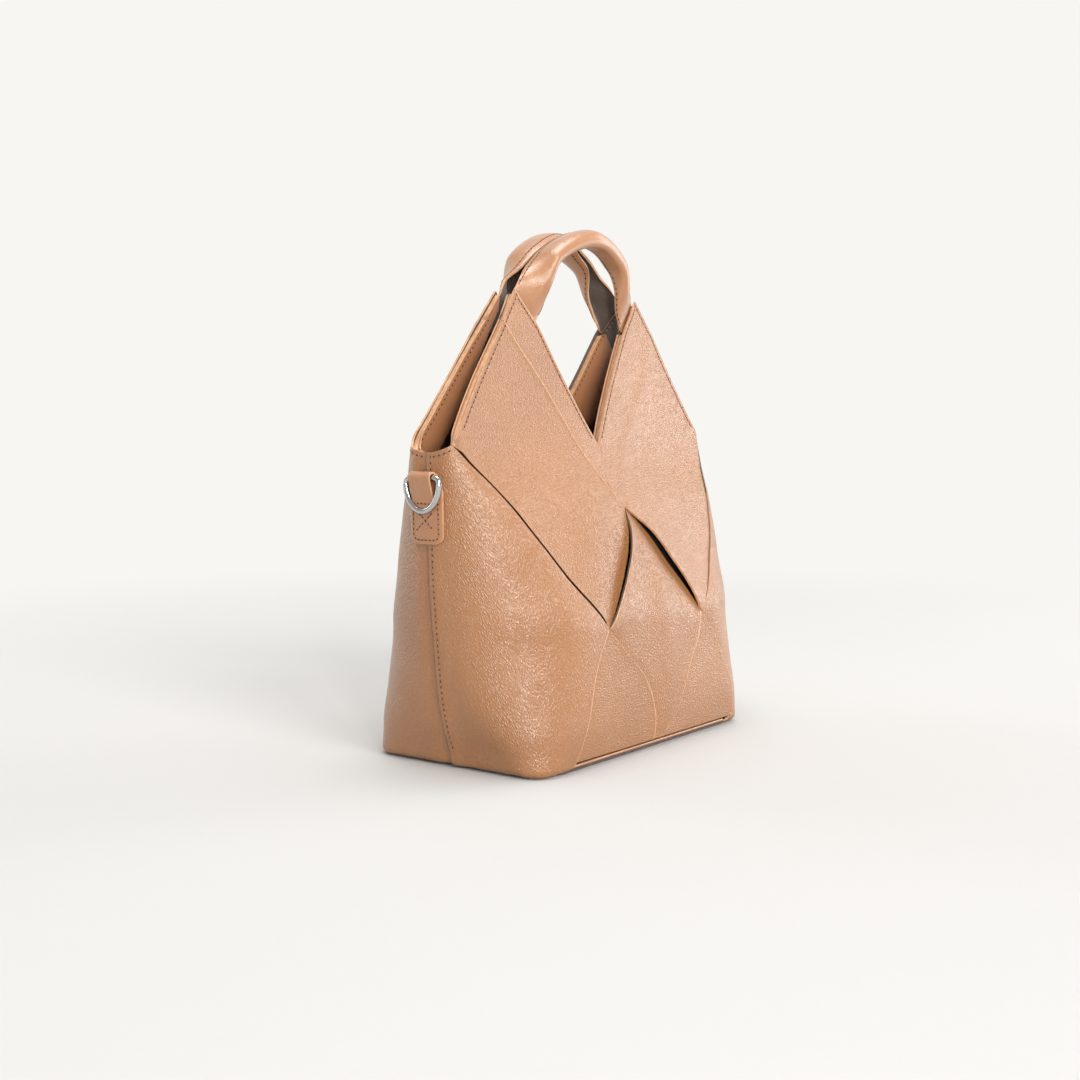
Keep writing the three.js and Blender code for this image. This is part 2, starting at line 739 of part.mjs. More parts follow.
// The handles: leather strips folded lengthways with the fold away from the other handle. Their two
// edges start at the two ends of the peak and are stitched together over the middle of the arch.
const rootPoint = facePoint(rootPlace.x, rootPlace.y);
const peakPlace = place(peak);
const handleRise = handleTopHeight - rootPoint.z;
const flangeThickness = 2 * handleWall + handleFlangeGap;
const foldPoints = 5;

// How far the strip swells out beside its fold and its edges, at the peak and at the top of the arch
const foldBulge = { peak: 0.3 * handleThickness, top: 0.65 * handleThickness };
const edgeSwell = { peak: 0, top: 0.4 * handleThickness };
const edgeLip = { peak: 0.2 * handleFoldDepth, top: 0.32 * handleFoldDepth };

// Sections of half a handle from the peak to the top. Each edge and the fold has its place across as
// a share of shoulderHalfWidth, its rise above the handle's root as a share of handleRise and its
// depth as a share of handleFoldDepth. Past the point where the edges meet, the inner edge lies
// flat under the outer one.
const handleSections = [
  { outer: [0.438, 0.399, 0.2], inner: [0.3123, 0.1026, 0.385], fold: [0.3805, 0.2147, 0.596] },
  { outer: [0.402, 0.455, 0.16], inner: [0.2872, 0.2147, 0.35], fold: [0.3518, 0.2949, 0.635] },
  { outer: [0.359, 0.527, 0.135], inner: [0.2728, 0.343, 0.31], fold: [0.3266, 0.391, 0.69] },
  { outer: [0.3159, 0.599, 0.115], inner: [0.2642, 0.479, 0.25], fold: [0.3051, 0.495, 0.75] },
  { outer: [0.2764, 0.663, 0.1], inner: [0.254, 0.585, 0.16], fold: [0.2872, 0.591, 0.79] },
  { outer: [0.2441, 0.716, 0.085], fold: [0.262, 0.6715, 0.815] },
  { outer: [0.1938, 0.8, 0.08], fold: [0.201, 0.76, 0.865] },
  { outer: [0.1292, 0.8846, 0.077], fold: [0.1328, 0.8285, 0.923] },
  { outer: [0.0646, 0.936, 0.077], fold: [0.0646, 0.8718, 0.973] },
  { outer: [0, 0.952, 0.077], fold: [0, 0.8878, 1] },
];

function handlePoint([across, rise, depth]) {
  return new THREE.Vector3(
    across * shoulderHalfWidth,
    -depth * handleFoldDepth,
    rootPoint.z + rise * handleRise,
  );
}

function handleSection(row, k) {
  const last = handleSections.length - 1;
  const before = handlePoint(handleSections[Math.max(k - 1, 0)].outer);
  const after = handlePoint(handleSections[Math.min(k + 1, last)].outer);
  const path = after.sub(before).setY(0).normalize();
  if (k === last) path.set(-1, 0, 0);
  const outward = new THREE.Vector3(path.z, 0, -path.x);
  const outer = handlePoint(row.outer);
  const inner = row.inner
    ? handlePoint(row.inner)
    : outer.clone().addScaledVector(outward, -flangeThickness);
  const fold = handlePoint(row.fold);
  const along = ({ peak: start, top }) => lerp(start, top, k / last);
  const bulge = along(foldBulge);
  const lip = new THREE.Vector3(0, -along(edgeLip), 0);
  const swell = outward.clone().multiplyScalar(along(edgeSwell));
  const lower = new THREE.CubicBezierCurve3(
    inner,
    inner.clone().add(lip).sub(swell),
    fold.clone().addScaledVector(outward, -bulge),
    fold,
  ).getPoints(foldPoints);
  const upper = new THREE.CubicBezierCurve3(
    fold,
    fold.clone().addScaledVector(outward, bulge),
    outer.clone().add(lip).add(swell),
    outer,
  ).getPoints(foldPoints);
  const outside = joined(lower, upper);
  const centre = outside.reduce((sum, p) => sum.add(p), new THREE.Vector3()).divideScalar(outside.length);
  const inside = outside.map((p, i) => {
    const from = outside[Math.max(i - 1, 0)];
    const to = outside[Math.min(i + 1, outside.length - 1)];
    const normal = new THREE.Vector3().crossVectors(to.clone().sub(from), path).normalize();
    if (normal.dot(centre.clone().sub(p)) < 0) normal.negate();
    return p.clone().addScaledVector(normal, handleWall);
  });
  return { outside, inside };
}

// The ends of the strip lie flat behind the peak. The shares are along the edge of the peak.
const tuckEdge = [0.05, 0.95];
const tuckFoot = [0.2, 0.75];
const tuckLean = 3;

function tuckSection(from, to) {
  const places = straightLine(from, to, 2 * foldPoints);
  return {
    outside: places.map((p) => bagPoint(p.x, p.y, weltDepth)),
    inside: places.map((p) => bagPoint(p.x, p.y, weltDepth + weltThickness)),
  };
}

function handle() {
  const chord = peakPlace.clone().sub(rootPlace);
  const alongChord = (share) => rootPlace.clone().addScaledVector(chord, share);
  const above = new THREE.Vector2(-chord.y, chord.x).normalize();
  const edge = tuckEdge.map((share) => alongChord(share).addScaledVector(above, seatGap));
  const tucked = tuckFoot.map((share) =>
    alongChord(share).addScaledVector(above, -handleTuckLength).add(new THREE.Vector2(-tuckLean, 0)),
  );
  const half = [tuckSection(...tucked), tuckSection(...edge), ...handleSections.map(handleSection)];
  const overLeft = ({ outside, inside }) => {
    const flip = (p) => new THREE.Vector3(-p.x, p.y, p.z);
    return { outside: outside.map(flip), inside: inside.map(flip) };
  };
  const sections = joined(half, reversed(half).map(overLeft));
  return slab(
    sections.map((s) => s.outside),
    sections.map((s) => s.inside),
  );
}
const handleGeometry = handle();
addPiece('front_handle', handleGeometry, leather.clone());
addPiece('back_handle', handleGeometry.clone(), leather.clone(), back);

// Tabs on the side seams, each with a loop that holds a ring. out is measured from the side face.
const sideFace = shoulderHalfWidth + seatGap;
const barOut = tabThickness + ringClearance + ringWireRadius;
const loopInside = ringWireRadius + ringClearance;
const loopOutside = loopInside + loopWall;

// The loop's stitched end lies inside the ring: loopReach is its share of the way down the ring's hole
const loopEndHeight = ringBarHeight - loopReach * (ringDrop - 2 * ringWireRadius);

function toManifold(geometry) {
  const plain = bare(geometry);
  const mesh = new wasm.Mesh({
    numProp: 3,
    vertProperties: new Float32Array(plain.attributes.position.array),
    triVerts: new Uint32Array(plain.index.array),
  });
  return new wasm.Manifold(mesh);
}

function fromManifold(solid) {
  const mesh = solid.getMesh();
  const geometry = new THREE.BufferGeometry();
  geometry.setAttribute('position', new THREE.BufferAttribute(new Float32Array(mesh.vertProperties), 3));
  geometry.setIndex(new THREE.BufferAttribute(new Uint32Array(mesh.triVerts), 1));
  return geometry;
}

function tabPlate() {
  const w = tabWidth / 2;
  const r = tabCornerRadius;
  const shape = new THREE.Shape();
  shape.moveTo(-w + r, tabBottomHeight);
  shape.lineTo(w - r, tabBottomHeight);
  shape.absarc(w - r, tabBottomHeight + r, r, -Math.PI / 2, 0);
  shape.lineTo(w, tabShoulderHeight);
  shape.lineTo(loopWidth / 2, ringBarHeight);
  shape.lineTo(-loopWidth / 2, ringBarHeight);
  shape.lineTo(-w, tabShoulderHeight);
  shape.absarc(-w + r, tabBottomHeight + r, r, Math.PI, 1.5 * Math.PI);
  const plate = new THREE.ExtrudeGeometry(shape, {
    depth: tabThickness,
    bevelEnabled: false,
    curveSegments: 4,
  });
  const axes = new THREE.Matrix4().makeBasis(
    new THREE.Vector3(0, 1, 0),
    new THREE.Vector3(0, 0, 1),
    new THREE.Vector3(1, 0, 0),
  );
  return plate.applyMatrix4(axes).translate(sideFace, 0, 0);
}

const loopLean = THREE.MathUtils.degToRad(-10);

function tabLoop() {
  const outline = new THREE.Shape();
  outline.moveTo(tabThickness / 2, loopEndHeight);
  outline.lineTo(tabThickness + loopWall, loopEndHeight);
  outline.absarc(barOut, ringBarHeight, loopOutside, loopLean, Math.PI);
  outline.lineTo(tabThickness / 2, ringBarHeight - loopInside);
  const tunnel = new THREE.Path();
  tunnel.moveTo(tabThickness, ringBarHeight - loopInside);
  tunnel.lineTo(tabThickness, loopEndHeight + loopWall);
  tunnel.absarc(barOut, ringBarHeight, loopInside, loopLean, Math.PI);
  outline.holes.push(tunnel);
  const loop = new THREE.ExtrudeGeometry(outline, {
    depth: loopWidth,
    bevelEnabled: false,
    curveSegments: 6,
  });
  const axes = new THREE.Matrix4().makeBasis(
    new THREE.Vector3(1, 0, 0),
    new THREE.Vector3(0, 0, 1),
    new THREE.Vector3(0, -1, 0),
  );
  return loop.applyMatrix4(axes).translate(sideFace, loopWidth / 2, 0);
}

function ringTab() {
  return fromManifold(toManifold(tabPlate()).add(toManifold(tabLoop())));
}

// A D-shaped ring: a straight bar in the loop and a half oval hanging from it
const barSteps = 4;
const ovalSteps = 12;

function dRing() {
  const w = ringOuterWidth / 2 - ringWireRadius;
  const r = ringCornerRadius;
  const x = sideFace + barOut;
  const bend = r * (1 - Math.SQRT1_2);
  const points = [];
  for (let i = 0; i <= barSteps; i += 1) {
    points.push(new THREE.Vector3(x, lerp(-w + r, w - r, i / barSteps), ringBarHeight));
  }
  points.push(new THREE.Vector3(x, w - bend, ringBarHeight - bend));
  const ovalHeight = ringDrop - ringWireRadius - r;
  for (let i = 0; i <= ovalSteps; i += 1) {
    const t = (Math.PI * i) / ovalSteps;
    points.push(new THREE.Vector3(x, w * Math.cos(t), ringBarHeight - r - ovalHeight * Math.sin(t)));
  }
  points.push(new THREE.Vector3(x, -w + bend, ringBarHeight - bend));
  const curve = new THREE.CatmullRomCurve3(points, true, 'centripetal');
  return bare(new THREE.TubeGeometry(curve, 36, ringWireRadius, 8, true));
}

const tabGeometry = ringTab();
const ringGeometry = dRing();
addPiece('right_ring_tab', tabGeometry, leather.clone());
addPiece('left_ring_tab', tabGeometry.clone(), leather.clone(), back);
addPiece('right_d_ring', ringGeometry, polishedMetal);
addPiece('left_d_ring', ringGeometry.clone(), polishedMetal, back);

export default group;
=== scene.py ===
import json
import math

import bpy
import numpy as np
from mathutils import Matrix, Vector

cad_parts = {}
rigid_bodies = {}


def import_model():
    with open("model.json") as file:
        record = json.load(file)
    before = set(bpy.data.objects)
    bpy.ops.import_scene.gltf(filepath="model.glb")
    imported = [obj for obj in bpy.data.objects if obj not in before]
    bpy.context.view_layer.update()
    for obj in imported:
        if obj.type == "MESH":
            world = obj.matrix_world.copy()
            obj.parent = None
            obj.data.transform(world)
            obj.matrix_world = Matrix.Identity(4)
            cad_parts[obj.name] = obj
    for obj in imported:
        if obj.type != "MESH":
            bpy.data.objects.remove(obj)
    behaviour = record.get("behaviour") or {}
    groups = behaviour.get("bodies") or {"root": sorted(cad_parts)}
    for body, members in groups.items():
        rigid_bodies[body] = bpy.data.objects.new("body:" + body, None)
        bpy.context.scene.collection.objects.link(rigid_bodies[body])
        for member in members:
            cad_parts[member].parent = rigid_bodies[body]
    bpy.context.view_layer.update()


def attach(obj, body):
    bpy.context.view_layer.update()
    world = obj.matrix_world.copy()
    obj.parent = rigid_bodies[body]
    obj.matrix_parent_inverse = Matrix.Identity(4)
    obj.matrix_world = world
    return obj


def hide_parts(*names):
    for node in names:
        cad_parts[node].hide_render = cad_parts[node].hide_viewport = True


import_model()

# All sizes below are in millimetres, as on the pattern; MM turns them into the scene's metres.
MM = 0.001

# ---------------------------------------------------------------- pattern of the bag
SHOULDER_HALF_WIDTH = 139.3
BASE_HALF_WIDTH = 118.3
BELLY_HALF_DEPTH = 70.5
CORNER_RADIUS = 68.0
BODY_HEIGHT = 193.0
PANEL_RISE = 95.6
HANDLE_TOP = 330.0
SKIN = 1.5

# body, rise, flare, depth, edge, corner: level cuts through the bag from the base to the peaks
LEVEL_CUTS = np.array([
    (0, 0, 0, 0.95, 1, 0.24),
    (0.065, 0, 0.124, 0.975, 1.01, 0.4),
    (0.135, 0, 0.362, 0.99, 1.02, 0.59),
    (0.24, 0, 0.595, 1, 1.01, 0.81),
    (0.43, 0, 0.8, 0.993, 1, 1),
    (0.622, 0, 0.95, 0.851, 0.92, 0.79),
    (0.793, 0, 0.985, 0.644, 0.91, 0.56),
    (1, 0, 1, 0.3475, 0.76, 0.135),
    (1, 0.387, 1, 0.248, 0.76, 0.1),
    (1, 0.785, 1, 0.184, 0.78, 0.08),
    (1, 1, 1, 0.135, 0.75, 0.06),
])
CUT_HEIGHTS = LEVEL_CUTS[:, 0] * BODY_HEIGHT + LEVEL_CUTS[:, 1] * PANEL_RISE

# Places on the front: share of the shoulder half width, share of the body height, share of the rise
PEAK = (0.4774, 1, 1)
HANDLE_ROOT = (0.341, 1, 0.7803)
EDGE_STEP = (0.5822, 1, 0.7981)
SHOULDER = (0.982, 1, 0.022)
NOTCH = (0, 1, 0)
SLIT_TOP = (0, 0.793, 0)
SLIT_FOOT = (0.3884, 0.4295, 0)

OUTER_SLIT = [
    SHOULDER, (0.9476, 0.9585, 0), (0.8686, 0.886, 0), (0.7968, 0.8031, 0), (0.7179, 0.715, 0),
    (0.6317, 0.6269, 0), (0.524, 0.5285, 0), SLIT_FOOT,
]
INNER_SLIT = {
    -1: [SLIT_TOP, (0.0215, 0.741, 0), (0.0718, 0.684, 0), (0.1938, 0.575, 0), SLIT_FOOT],
    1: [SLIT_TOP, (0.1364, 0.7098, 0), (0.2154, 0.632, 0), (0.3087, 0.544, 0), SLIT_FOOT],
}
STRIP_LINE = {
    -1: [
        EDGE_STEP, (0.5025, 1, 0.659), (0.4164, 1, 0.523), (0.3266, 1, 0.361), (0.2441, 1, 0.1987),
        (0.1472, 0.987, 0), (0.079, 0.891, 0), SLIT_TOP,
    ],
    1: [
        EDGE_STEP, (0.524, 1, 0.523), (0.4307, 1, 0.293), (0.2872, 1, 0.0732), (0.194, 0.964, 0),
        (0.086, 0.87, 0), SLIT_TOP,
    ],
}
INNER_CREASE = {
    -1: [
        SLIT_FOOT, (0.2441, 0.3368, 0), (0.1149, 0.2591, 0), (0.0431, 0.1813, 0), (0.004, 0.1036, 0),
        (0, 0, 0),
    ],
    1: [
        SLIT_FOOT, (0.3589, 0.3472, 0), (0.3015, 0.285, 0), (0.2584, 0.2306, 0), (0.1866, 0.1192, 0),
        (0.1077, 0.0674, 0), (0, 0, 0),
    ],
}
OUTER_CREASE = {
    -1: [
        SLIT_FOOT, (0.4594, 0.3523, 0), (0.5025, 0.2798, 0), (0.5384, 0.1813, 0), (0.5707, 0.1062, 0),
        (0.6174, 0.0259, 0), (0.679, 0, 0),
    ],
    1: [
        SLIT_FOOT, (0.5097, 0.3368, 0), (0.5922, 0.2487, 0), (0.6461, 0.1969, 0), (0.6892, 0.1399, 0),
        (0.7, 0.0363, 0), (0.679, 0, 0),
    ],
}
NOTCH_FACING = [(0, 0.87, 0), (0.19, 0.975, 0), (0.3733, 1, 0.188), (0.4594, 1, 0.628)]
LINING_PEAK = (0.4882, 1, 0.7845)
OPENING_FACING = [
    (0.5456, 1, 0.617), (0.6317, 1, 0.366), (0.725, 1, 0.042), (0.85, 0.9, 0), (0.95, 0.86, 0),
]
OPENING_FACING_START = (0.483, 1, 0.84)
FACING_FOOT = 0.85 * BODY_HEIGHT


def column_slopes(values):
    """Slopes that keep a curve through a column from overshooting."""
    chords = np.diff(values) / np.diff(CUT_HEIGHTS)
    slopes = np.empty(len(values))
    slopes[0], slopes[-1] = chords[0], chords[-1]
    for k in range(1, len(values) - 1):
        a, b = chords[k - 1], chords[k]
        slopes[k] = 0 if a * b <= 0 else 2 * a * b / (a + b)
    return slopes


COLUMNS = {
    name: (LEVEL_CUTS[:, k], column_slopes(LEVEL_CUTS[:, k]))
    for k, name in ((2, "flare"), (3, "depth"), (4, "edge"), (5, "corner"))
}


def column_at(name, z):
    """A column of the table at a height, on a smooth curve."""
    values, slopes = COLUMNS[name]
    z = np.clip(z, CUT_HEIGHTS[0], CUT_HEIGHTS[-1])
    i = np.clip(np.searchsorted(CUT_HEIGHTS, z, side="right") - 1, 0, len(values) - 2)
    span = CUT_HEIGHTS[i + 1] - CUT_HEIGHTS[i]
    t = (z - CUT_HEIGHTS[i]) / span
    return (
        values[i] * (2 * t**3 - 3 * t**2 + 1)
        + slopes[i] * span * (t**3 - 2 * t**2 + t)
        + values[i + 1] * (3 * t**2 - 2 * t**3)
        + slopes[i + 1] * span * (t**3 - t**2)
    )


def level_cut(z):
    """Sizes of the level cut, and where its corner and its side seam lie along it."""
    half_width = BASE_HALF_WIDTH + column_at("flare", z) * (SHOULDER_HALF_WIDTH - BASE_HALF_WIDTH)
    half_depth = column_at("depth", z) * BELLY_HALF_DEPTH
    edge_depth = column_at("edge", z) * half_depth
    radius = np.minimum(column_at("corner", z) * CORNER_RADIUS, edge_depth)
    straight = half_width - radius
    arc_end = straight + radius * math.pi / 2
    return half_width, half_depth, edge_depth, radius, straight, arc_end, arc_end + edge_depth - radius


def face_point(around, z):
    """Points on the outer face: around is measured along the level cut from the middle of the front."""
    half_width, half_depth, edge_depth, radius, straight, arc_end, seam = level_cut(z)
    reach = np.abs(around)
    past = reach > seam
    s = np.where(past, 2 * seam - reach, reach)
    turn = np.clip((s - straight) / radius, 0, math.pi / 2)
    crown = (1 + np.cos(math.pi * np.clip(s / straight, -1, 1))) / 2
    on_front = s <= straight
    on_side = s > arc_end
    x = np.where(on_front, s, np.where(on_side, half_width, straight + radius * np.sin(turn)))
    y = np.where(
        on_front,
        edge_depth + (half_depth - edge_depth) * crown,
        np.where(on_side, edge_depth - radius - (s - arc_end), edge_depth - radius * (1 - np.cos(turn))),
    )
    return np.stack([np.where(around < 0, -x, x), np.where(past, y, -y), z + 0 * x], axis=-1)


def face_normal(around, z, probe=0.5):
    along = face_point(around + probe, z) - face_point(around - probe, z)
    up = face_point(around, z + probe) - face_point(around, z - probe)
    normal = np.cross(along, up)
    return normal / np.linalg.norm(normal, axis=-1, keepdims=True)


def bag_point(around, z, depth=0.0):
    """Points at a depth inwards from the outer face."""
    around, z = np.asarray(around, float), np.asarray(z, float)
    depth = np.asarray(depth, float) + 0 * around
    return face_point(around, z) - face_normal(around, z) * depth[..., None]


def seam_at(z):
    """How far round the side seam lies at a height."""
    return level_cut(np.asarray(z, float))[6]


def around_at(x, z):
    """The way round to a place on the front, from its distance to the middle."""
    _, _, _, radius, straight, _, _ = level_cut(z)
    reach = np.abs(x)
    turn = np.arcsin(np.clip((reach - straight) / radius, 0, 1))
    return np.sign(x) * np.where(reach <= straight, reach, straight + radius * turn)


def smoothstep(x, low, high):
    t = np.clip((x - low) / (high - low), 0, 1)
    return t * t * (3 - 2 * t)


# ---------------------------------------------------------------- lines on the face
def shares(count, dense=0.0):
    """count shares from 0 to 1, closer together at both ends as dense grows."""
    t = np.linspace(0, 1, count)
    return t - dense * np.sin(2 * math.pi * t) / (2 * math.pi)


def resample(points, count, dense=0.0):
    """count points along a polyline, evenly spaced or closer at its ends."""
    points = np.asarray(points, float)
    lengths = np.r_[0, np.cumsum(np.linalg.norm(np.diff(points, axis=0), axis=1))]
    wanted = shares(count, dense) * lengths[-1]
    return np.stack([np.interp(wanted, lengths, points[:, k]) for k in range(points.shape[1])], axis=1)


def smooth_line(points, count):
    """A smooth curve through points, evenly spaced."""
    points = np.asarray(points, float)
    if len(points) == 2:
        return resample(points, count)
    ends = np.vstack([2 * points[0] - points[1], points, 2 * points[-1] - points[-2]])
    knots = np.r_[0, np.cumsum(np.sqrt(np.linalg.norm(np.diff(ends, axis=0), axis=1)) + 1e-9)]
    pieces = []
    for i in range(1, len(ends) - 2):
        t0, t1, t2, t3 = knots[i - 1 : i + 3]
        p0, p1, p2, p3 = ends[i - 1 : i + 3]
        t = np.linspace(t1, t2, 25)[:, None]
        a1 = (t1 - t) / (t1 - t0) * p0 + (t - t0) / (t1 - t0) * p1
        a2 = (t2 - t) / (t2 - t1) * p1 + (t - t1) / (t2 - t1) * p2
        a3 = (t3 - t) / (t3 - t2) * p2 + (t - t2) / (t3 - t2) * p3
        b1 = (t2 - t) / (t2 - t0) * a1 + (t - t0) / (t2 - t0) * a2
        b2 = (t3 - t) / (t3 - t1) * a2 + (t - t1) / (t3 - t1) * a3
        pieces.append((t2 - t) / (t2 - t1) * b1 + (t - t1) / (t2 - t1) * b2)
    return resample(np.vstack(pieces), count)


def height_of(row):
    """Height of a table row above the floor."""
    return row[1] * BODY_HEIGHT + row[2] * PANEL_RISE


def line_across(rows, side, count):
    """A smooth line through table rows, as (around, z) points."""
    flat = smooth_line([(side * r[0] * SHOULDER_HALF_WIDTH, height_of(r)) for r in rows], count)
    return np.stack([around_at(flat[:, 0], flat[:, 1]), flat[:, 1]], axis=1)


def place(row):
    """(around, z) of one table row, on the right half."""
    return line_across([row, row], 1, 2)[0]


def cut_at(line, z):
    """The part of a falling line above a height, ending on it."""
    below = np.nonzero(line[:, 1] < z)[0]
    if not len(below):
        return line
    k = below[0]
    a, b = line[k - 1], line[k]
    return np.vstack([line[:k], a + (b - a) * (a[1] - z) / (a[1] - b[1])])


def joined(*lines):
    """Lines end to end, without doubling the points where they meet."""
    return np.vstack([lines[0]] + [line[1:] for line in lines[1:]])


def shifted(line, distance):
    """A line moved to its left by a distance that may vary along it."""
    d = np.gradient(line, axis=0)
    normal = np.stack([-d[:, 1], d[:, 0]], axis=1) / np.linalg.norm(d, axis=1, keepdims=True)
    return line + normal * (np.zeros(len(line)) + distance)[:, None]


def near(places, line):
    """Signed distance from places to a line, positive on its left, and the share along the line."""
    flat = places.reshape(-1, 2)
    a, b = line[:-1], line[1:]
    ab = b - a
    lengths = np.linalg.norm(ab, axis=1)
    starts = np.r_[0, np.cumsum(lengths)]
    rel = flat[:, None, :] - a[None]
    t = np.clip((rel * ab).sum(-1) / (lengths**2), 0, 1)
    gap = rel - t[..., None] * ab
    dist = np.linalg.norm(gap, axis=-1)
    best = dist.argmin(1)
    rows = np.arange(len(flat))
    cross = ab[best, 0] * rel[rows, best, 1] - ab[best, 1] * rel[rows, best, 0]
    signed = np.where(cross >= 0, 1, -1) * dist[rows, best]
    share = (starts[best] + t[rows, best] * lengths[best]) / starts[-1]
    return signed.reshape(places.shape[:-1]), share.reshape(places.shape[:-1])


def fill(bottom, right, top, left, size, dense=0.0):
    """Places between four lines; bottom and top run left to right, left and right run upwards."""
    bottom, top = (resample(line, size[0], dense) for line in (bottom, top))
    left, right = (resample(line, size[1], dense) for line in (left, right))
    u = shares(size[0], dense)[None, :, None]
    v = shares(size[1], dense)[:, None, None]
    between_lines = (1 - v) * bottom[None] + v * top[None] + (1 - u) * left[:, None] + u * right[:, None]
    low_corners = (1 - u) * (1 - v) * bottom[0] + u * (1 - v) * bottom[-1]
    high_corners = (1 - u) * v * top[0] + u * v * top[-1]
    return between_lines - low_corners - high_corners


# ---------------------------------------------------------------- materials
def new_material(name):
    """A node material: its nodes, their links and its surface shader."""
    material = bpy.data.materials.new(name)
    material.use_nodes = True
    nodes = material.node_tree.nodes
    return material, nodes, material.node_tree.links, nodes["Principled BSDF"]


def set_sockets(node, **values):
    """Sets inputs by name, with _ for the spaces in the name."""
    for name, value in values.items():
        node.inputs[name.replace("_", " ")].default_value = value


def coordinates(nodes, kind):
    return nodes.new("ShaderNodeTexCoord").outputs[kind]


def noise(nodes, links, vector, scale, detail=3.0, rough=0.5):
    node = nodes.new("ShaderNodeTexNoise")
    set_sockets(node, Scale=scale, Detail=detail, Roughness=rough)
    links.new(vector, node.inputs["Vector"])
    return node


def waves(nodes, links, vector, scale, direction):
    node = nodes.new("ShaderNodeTexWave")
    node.bands_direction = direction
    set_sockets(node, Scale=scale)
    links.new(vector, node.inputs["Vector"])
    return node


def maths(nodes, links, operation, a, b):
    """An output worked out from two others, or from one and a number."""
    node = nodes.new("ShaderNodeMath")
    node.operation = operation
    for socket, value in zip(node.inputs, (a, b)):
        if isinstance(value, (int, float)):
            socket.default_value = value
        else:
            links.new(value, socket)
    return node.outputs[0]


def weighted_sum(nodes, links, *terms):
    """Adds outputs, each times its weight."""
    total = None
    for output, weight in terms:
        term = maths(nodes, links, "MULTIPLY", output, weight)
        total = term if total is None else maths(nodes, links, "ADD", total, term)
    return total


def colour_from(nodes, links, shader, value, *stops):
    """Base colour from a value, through a ramp of (position, colour) stops."""
    ramp = nodes.new("ShaderNodeValToRGB")
    first, last = ramp.color_ramp.elements
    first.position, first.color = stops[0][0], (*stops[0][1], 1)
    last.position, last.color = stops[-1][0], (*stops[-1][1], 1)
    for position, colour in stops[1:-1]:
        ramp.color_ramp.elements.new(position).color = (*colour, 1)
    links.new(value, ramp.inputs["Fac"])
    links.new(ramp.outputs["Color"], shader.inputs["Base Color"])


def gloss_from(nodes, links, shader, value, low, high):
    """Roughness from low to high as a value goes from 0 to 1."""
    gloss = nodes.new("ShaderNodeMapRange")
    set_sockets(gloss, To_Min=low, To_Max=high)
    links.new(value, gloss.inputs["Value"])
    links.new(gloss.outputs[0], shader.inputs["Roughness"])


def relief_from(nodes, links, shader, height, depth, strength=1.0, normal="Normal"):
    """Fine relief, depth millimetres deep, on one of the shader's normals."""
    bump = nodes.new("ShaderNodeBump")
    set_sockets(bump, Strength=strength, Distance=depth * MM)
    links.new(height, bump.inputs["Height"])
    links.new(bump.outputs[0], shader.inputs[normal])


GRAIN_CELLS = 78.0
GRAIN_STRETCH = (0.5, 1.0, 1.0)
GRAIN_BEND = (0.05, 0.05, 0.0)
BEND_SCALE = 5.5
VALLEY_WIDTH = 0.32
WRINKLE_SCALE = 190.0
PUCKER_SCALE = 48.0
COLOUR_DRIFT = 11.0
SPECK_SCALE = 420.0


def bent_grain_space(nodes, links):
    """The piece's UV map, bent a little at random and stretched along the hide."""
    uv = coordinates(nodes, "UV")
    centred = nodes.new("ShaderNodeVectorMath")
    centred.operation = "SUBTRACT"
    links.new(noise(nodes, links, uv, BEND_SCALE, 2.0).outputs["Color"], centred.inputs[0])
    centred.inputs[1].default_value = (0.5, 0.5, 0.5)
    bent = nodes.new("ShaderNodeVectorMath")
    bent.operation = "MULTIPLY_ADD"
    links.new(centred.outputs[0], bent.inputs[0])
    bent.inputs[1].default_value = GRAIN_BEND
    links.new(uv, bent.inputs[2])
    stretch = nodes.new("ShaderNodeMapping")
    set_sockets(stretch, Scale=GRAIN_STRETCH)
    links.new(bent.outputs[0], stretch.inputs["Vector"])
    return stretch.outputs[0]


def grained_leather(name, dark, mid, light, roughness, grain_depth, coat=0.0, sheen=0.0):
    """Pebbled calf leather: stretched grain cells with fine wrinkles, and colour that drifts slowly."""
    material, nodes, links, shader = new_material(name)
    space = bent_grain_space(nodes, links)
    cells = nodes.new("ShaderNodeTexVoronoi")
    cells.feature = "DISTANCE_TO_EDGE"
    set_sockets(cells, Scale=GRAIN_CELLS)
    links.new(space, cells.inputs["Vector"])
    valleys = nodes.new("ShaderNodeMapRange")
    valleys.interpolation_type = "SMOOTHSTEP"
    set_sockets(valleys, From_Max=VALLEY_WIDTH)
    links.new(cells.outputs["Distance"], valleys.inputs["Value"])
    wrinkles = noise(nodes, links, space, WRINKLE_SCALE, 2.0, 0.55)
    puckers = noise(nodes, links, space, PUCKER_SCALE, 2.0)
    relief = weighted_sum(
        nodes, links, (valleys.outputs[0], 0.5), (wrinkles.outputs["Fac"], 0.2), (puckers.outputs["Fac"], 0.6)
    )
    relief_from(nodes, links, shader, relief, grain_depth)
    relief_from(nodes, links, shader, relief, grain_depth, 0.6, "Coat Normal")
    hide = coordinates(nodes, "Object")
    drift = noise(nodes, links, hide, COLOUR_DRIFT, 4.0, 0.55)
    specks = noise(nodes, links, hide, SPECK_SCALE, 2.0)
    tone = weighted_sum(
        nodes, links, (drift.outputs["Fac"], 0.72), (specks.outputs["Fac"], 0.14), (valleys.outputs[0], 0.1)
    )
    colour_from(nodes, links, shader, tone, (0.28, dark), (0.52, mid), (0.78, light))
    gloss_from(nodes, links, shader, relief, roughness + 0.12, roughness - 0.04)
    set_sockets(
        shader, Specular_IOR_Level=0.6, Coat_Weight=coat, Coat_Roughness=0.28, Sheen_Weight=sheen,
        Sheen_Roughness=0.4,
    )
    return material


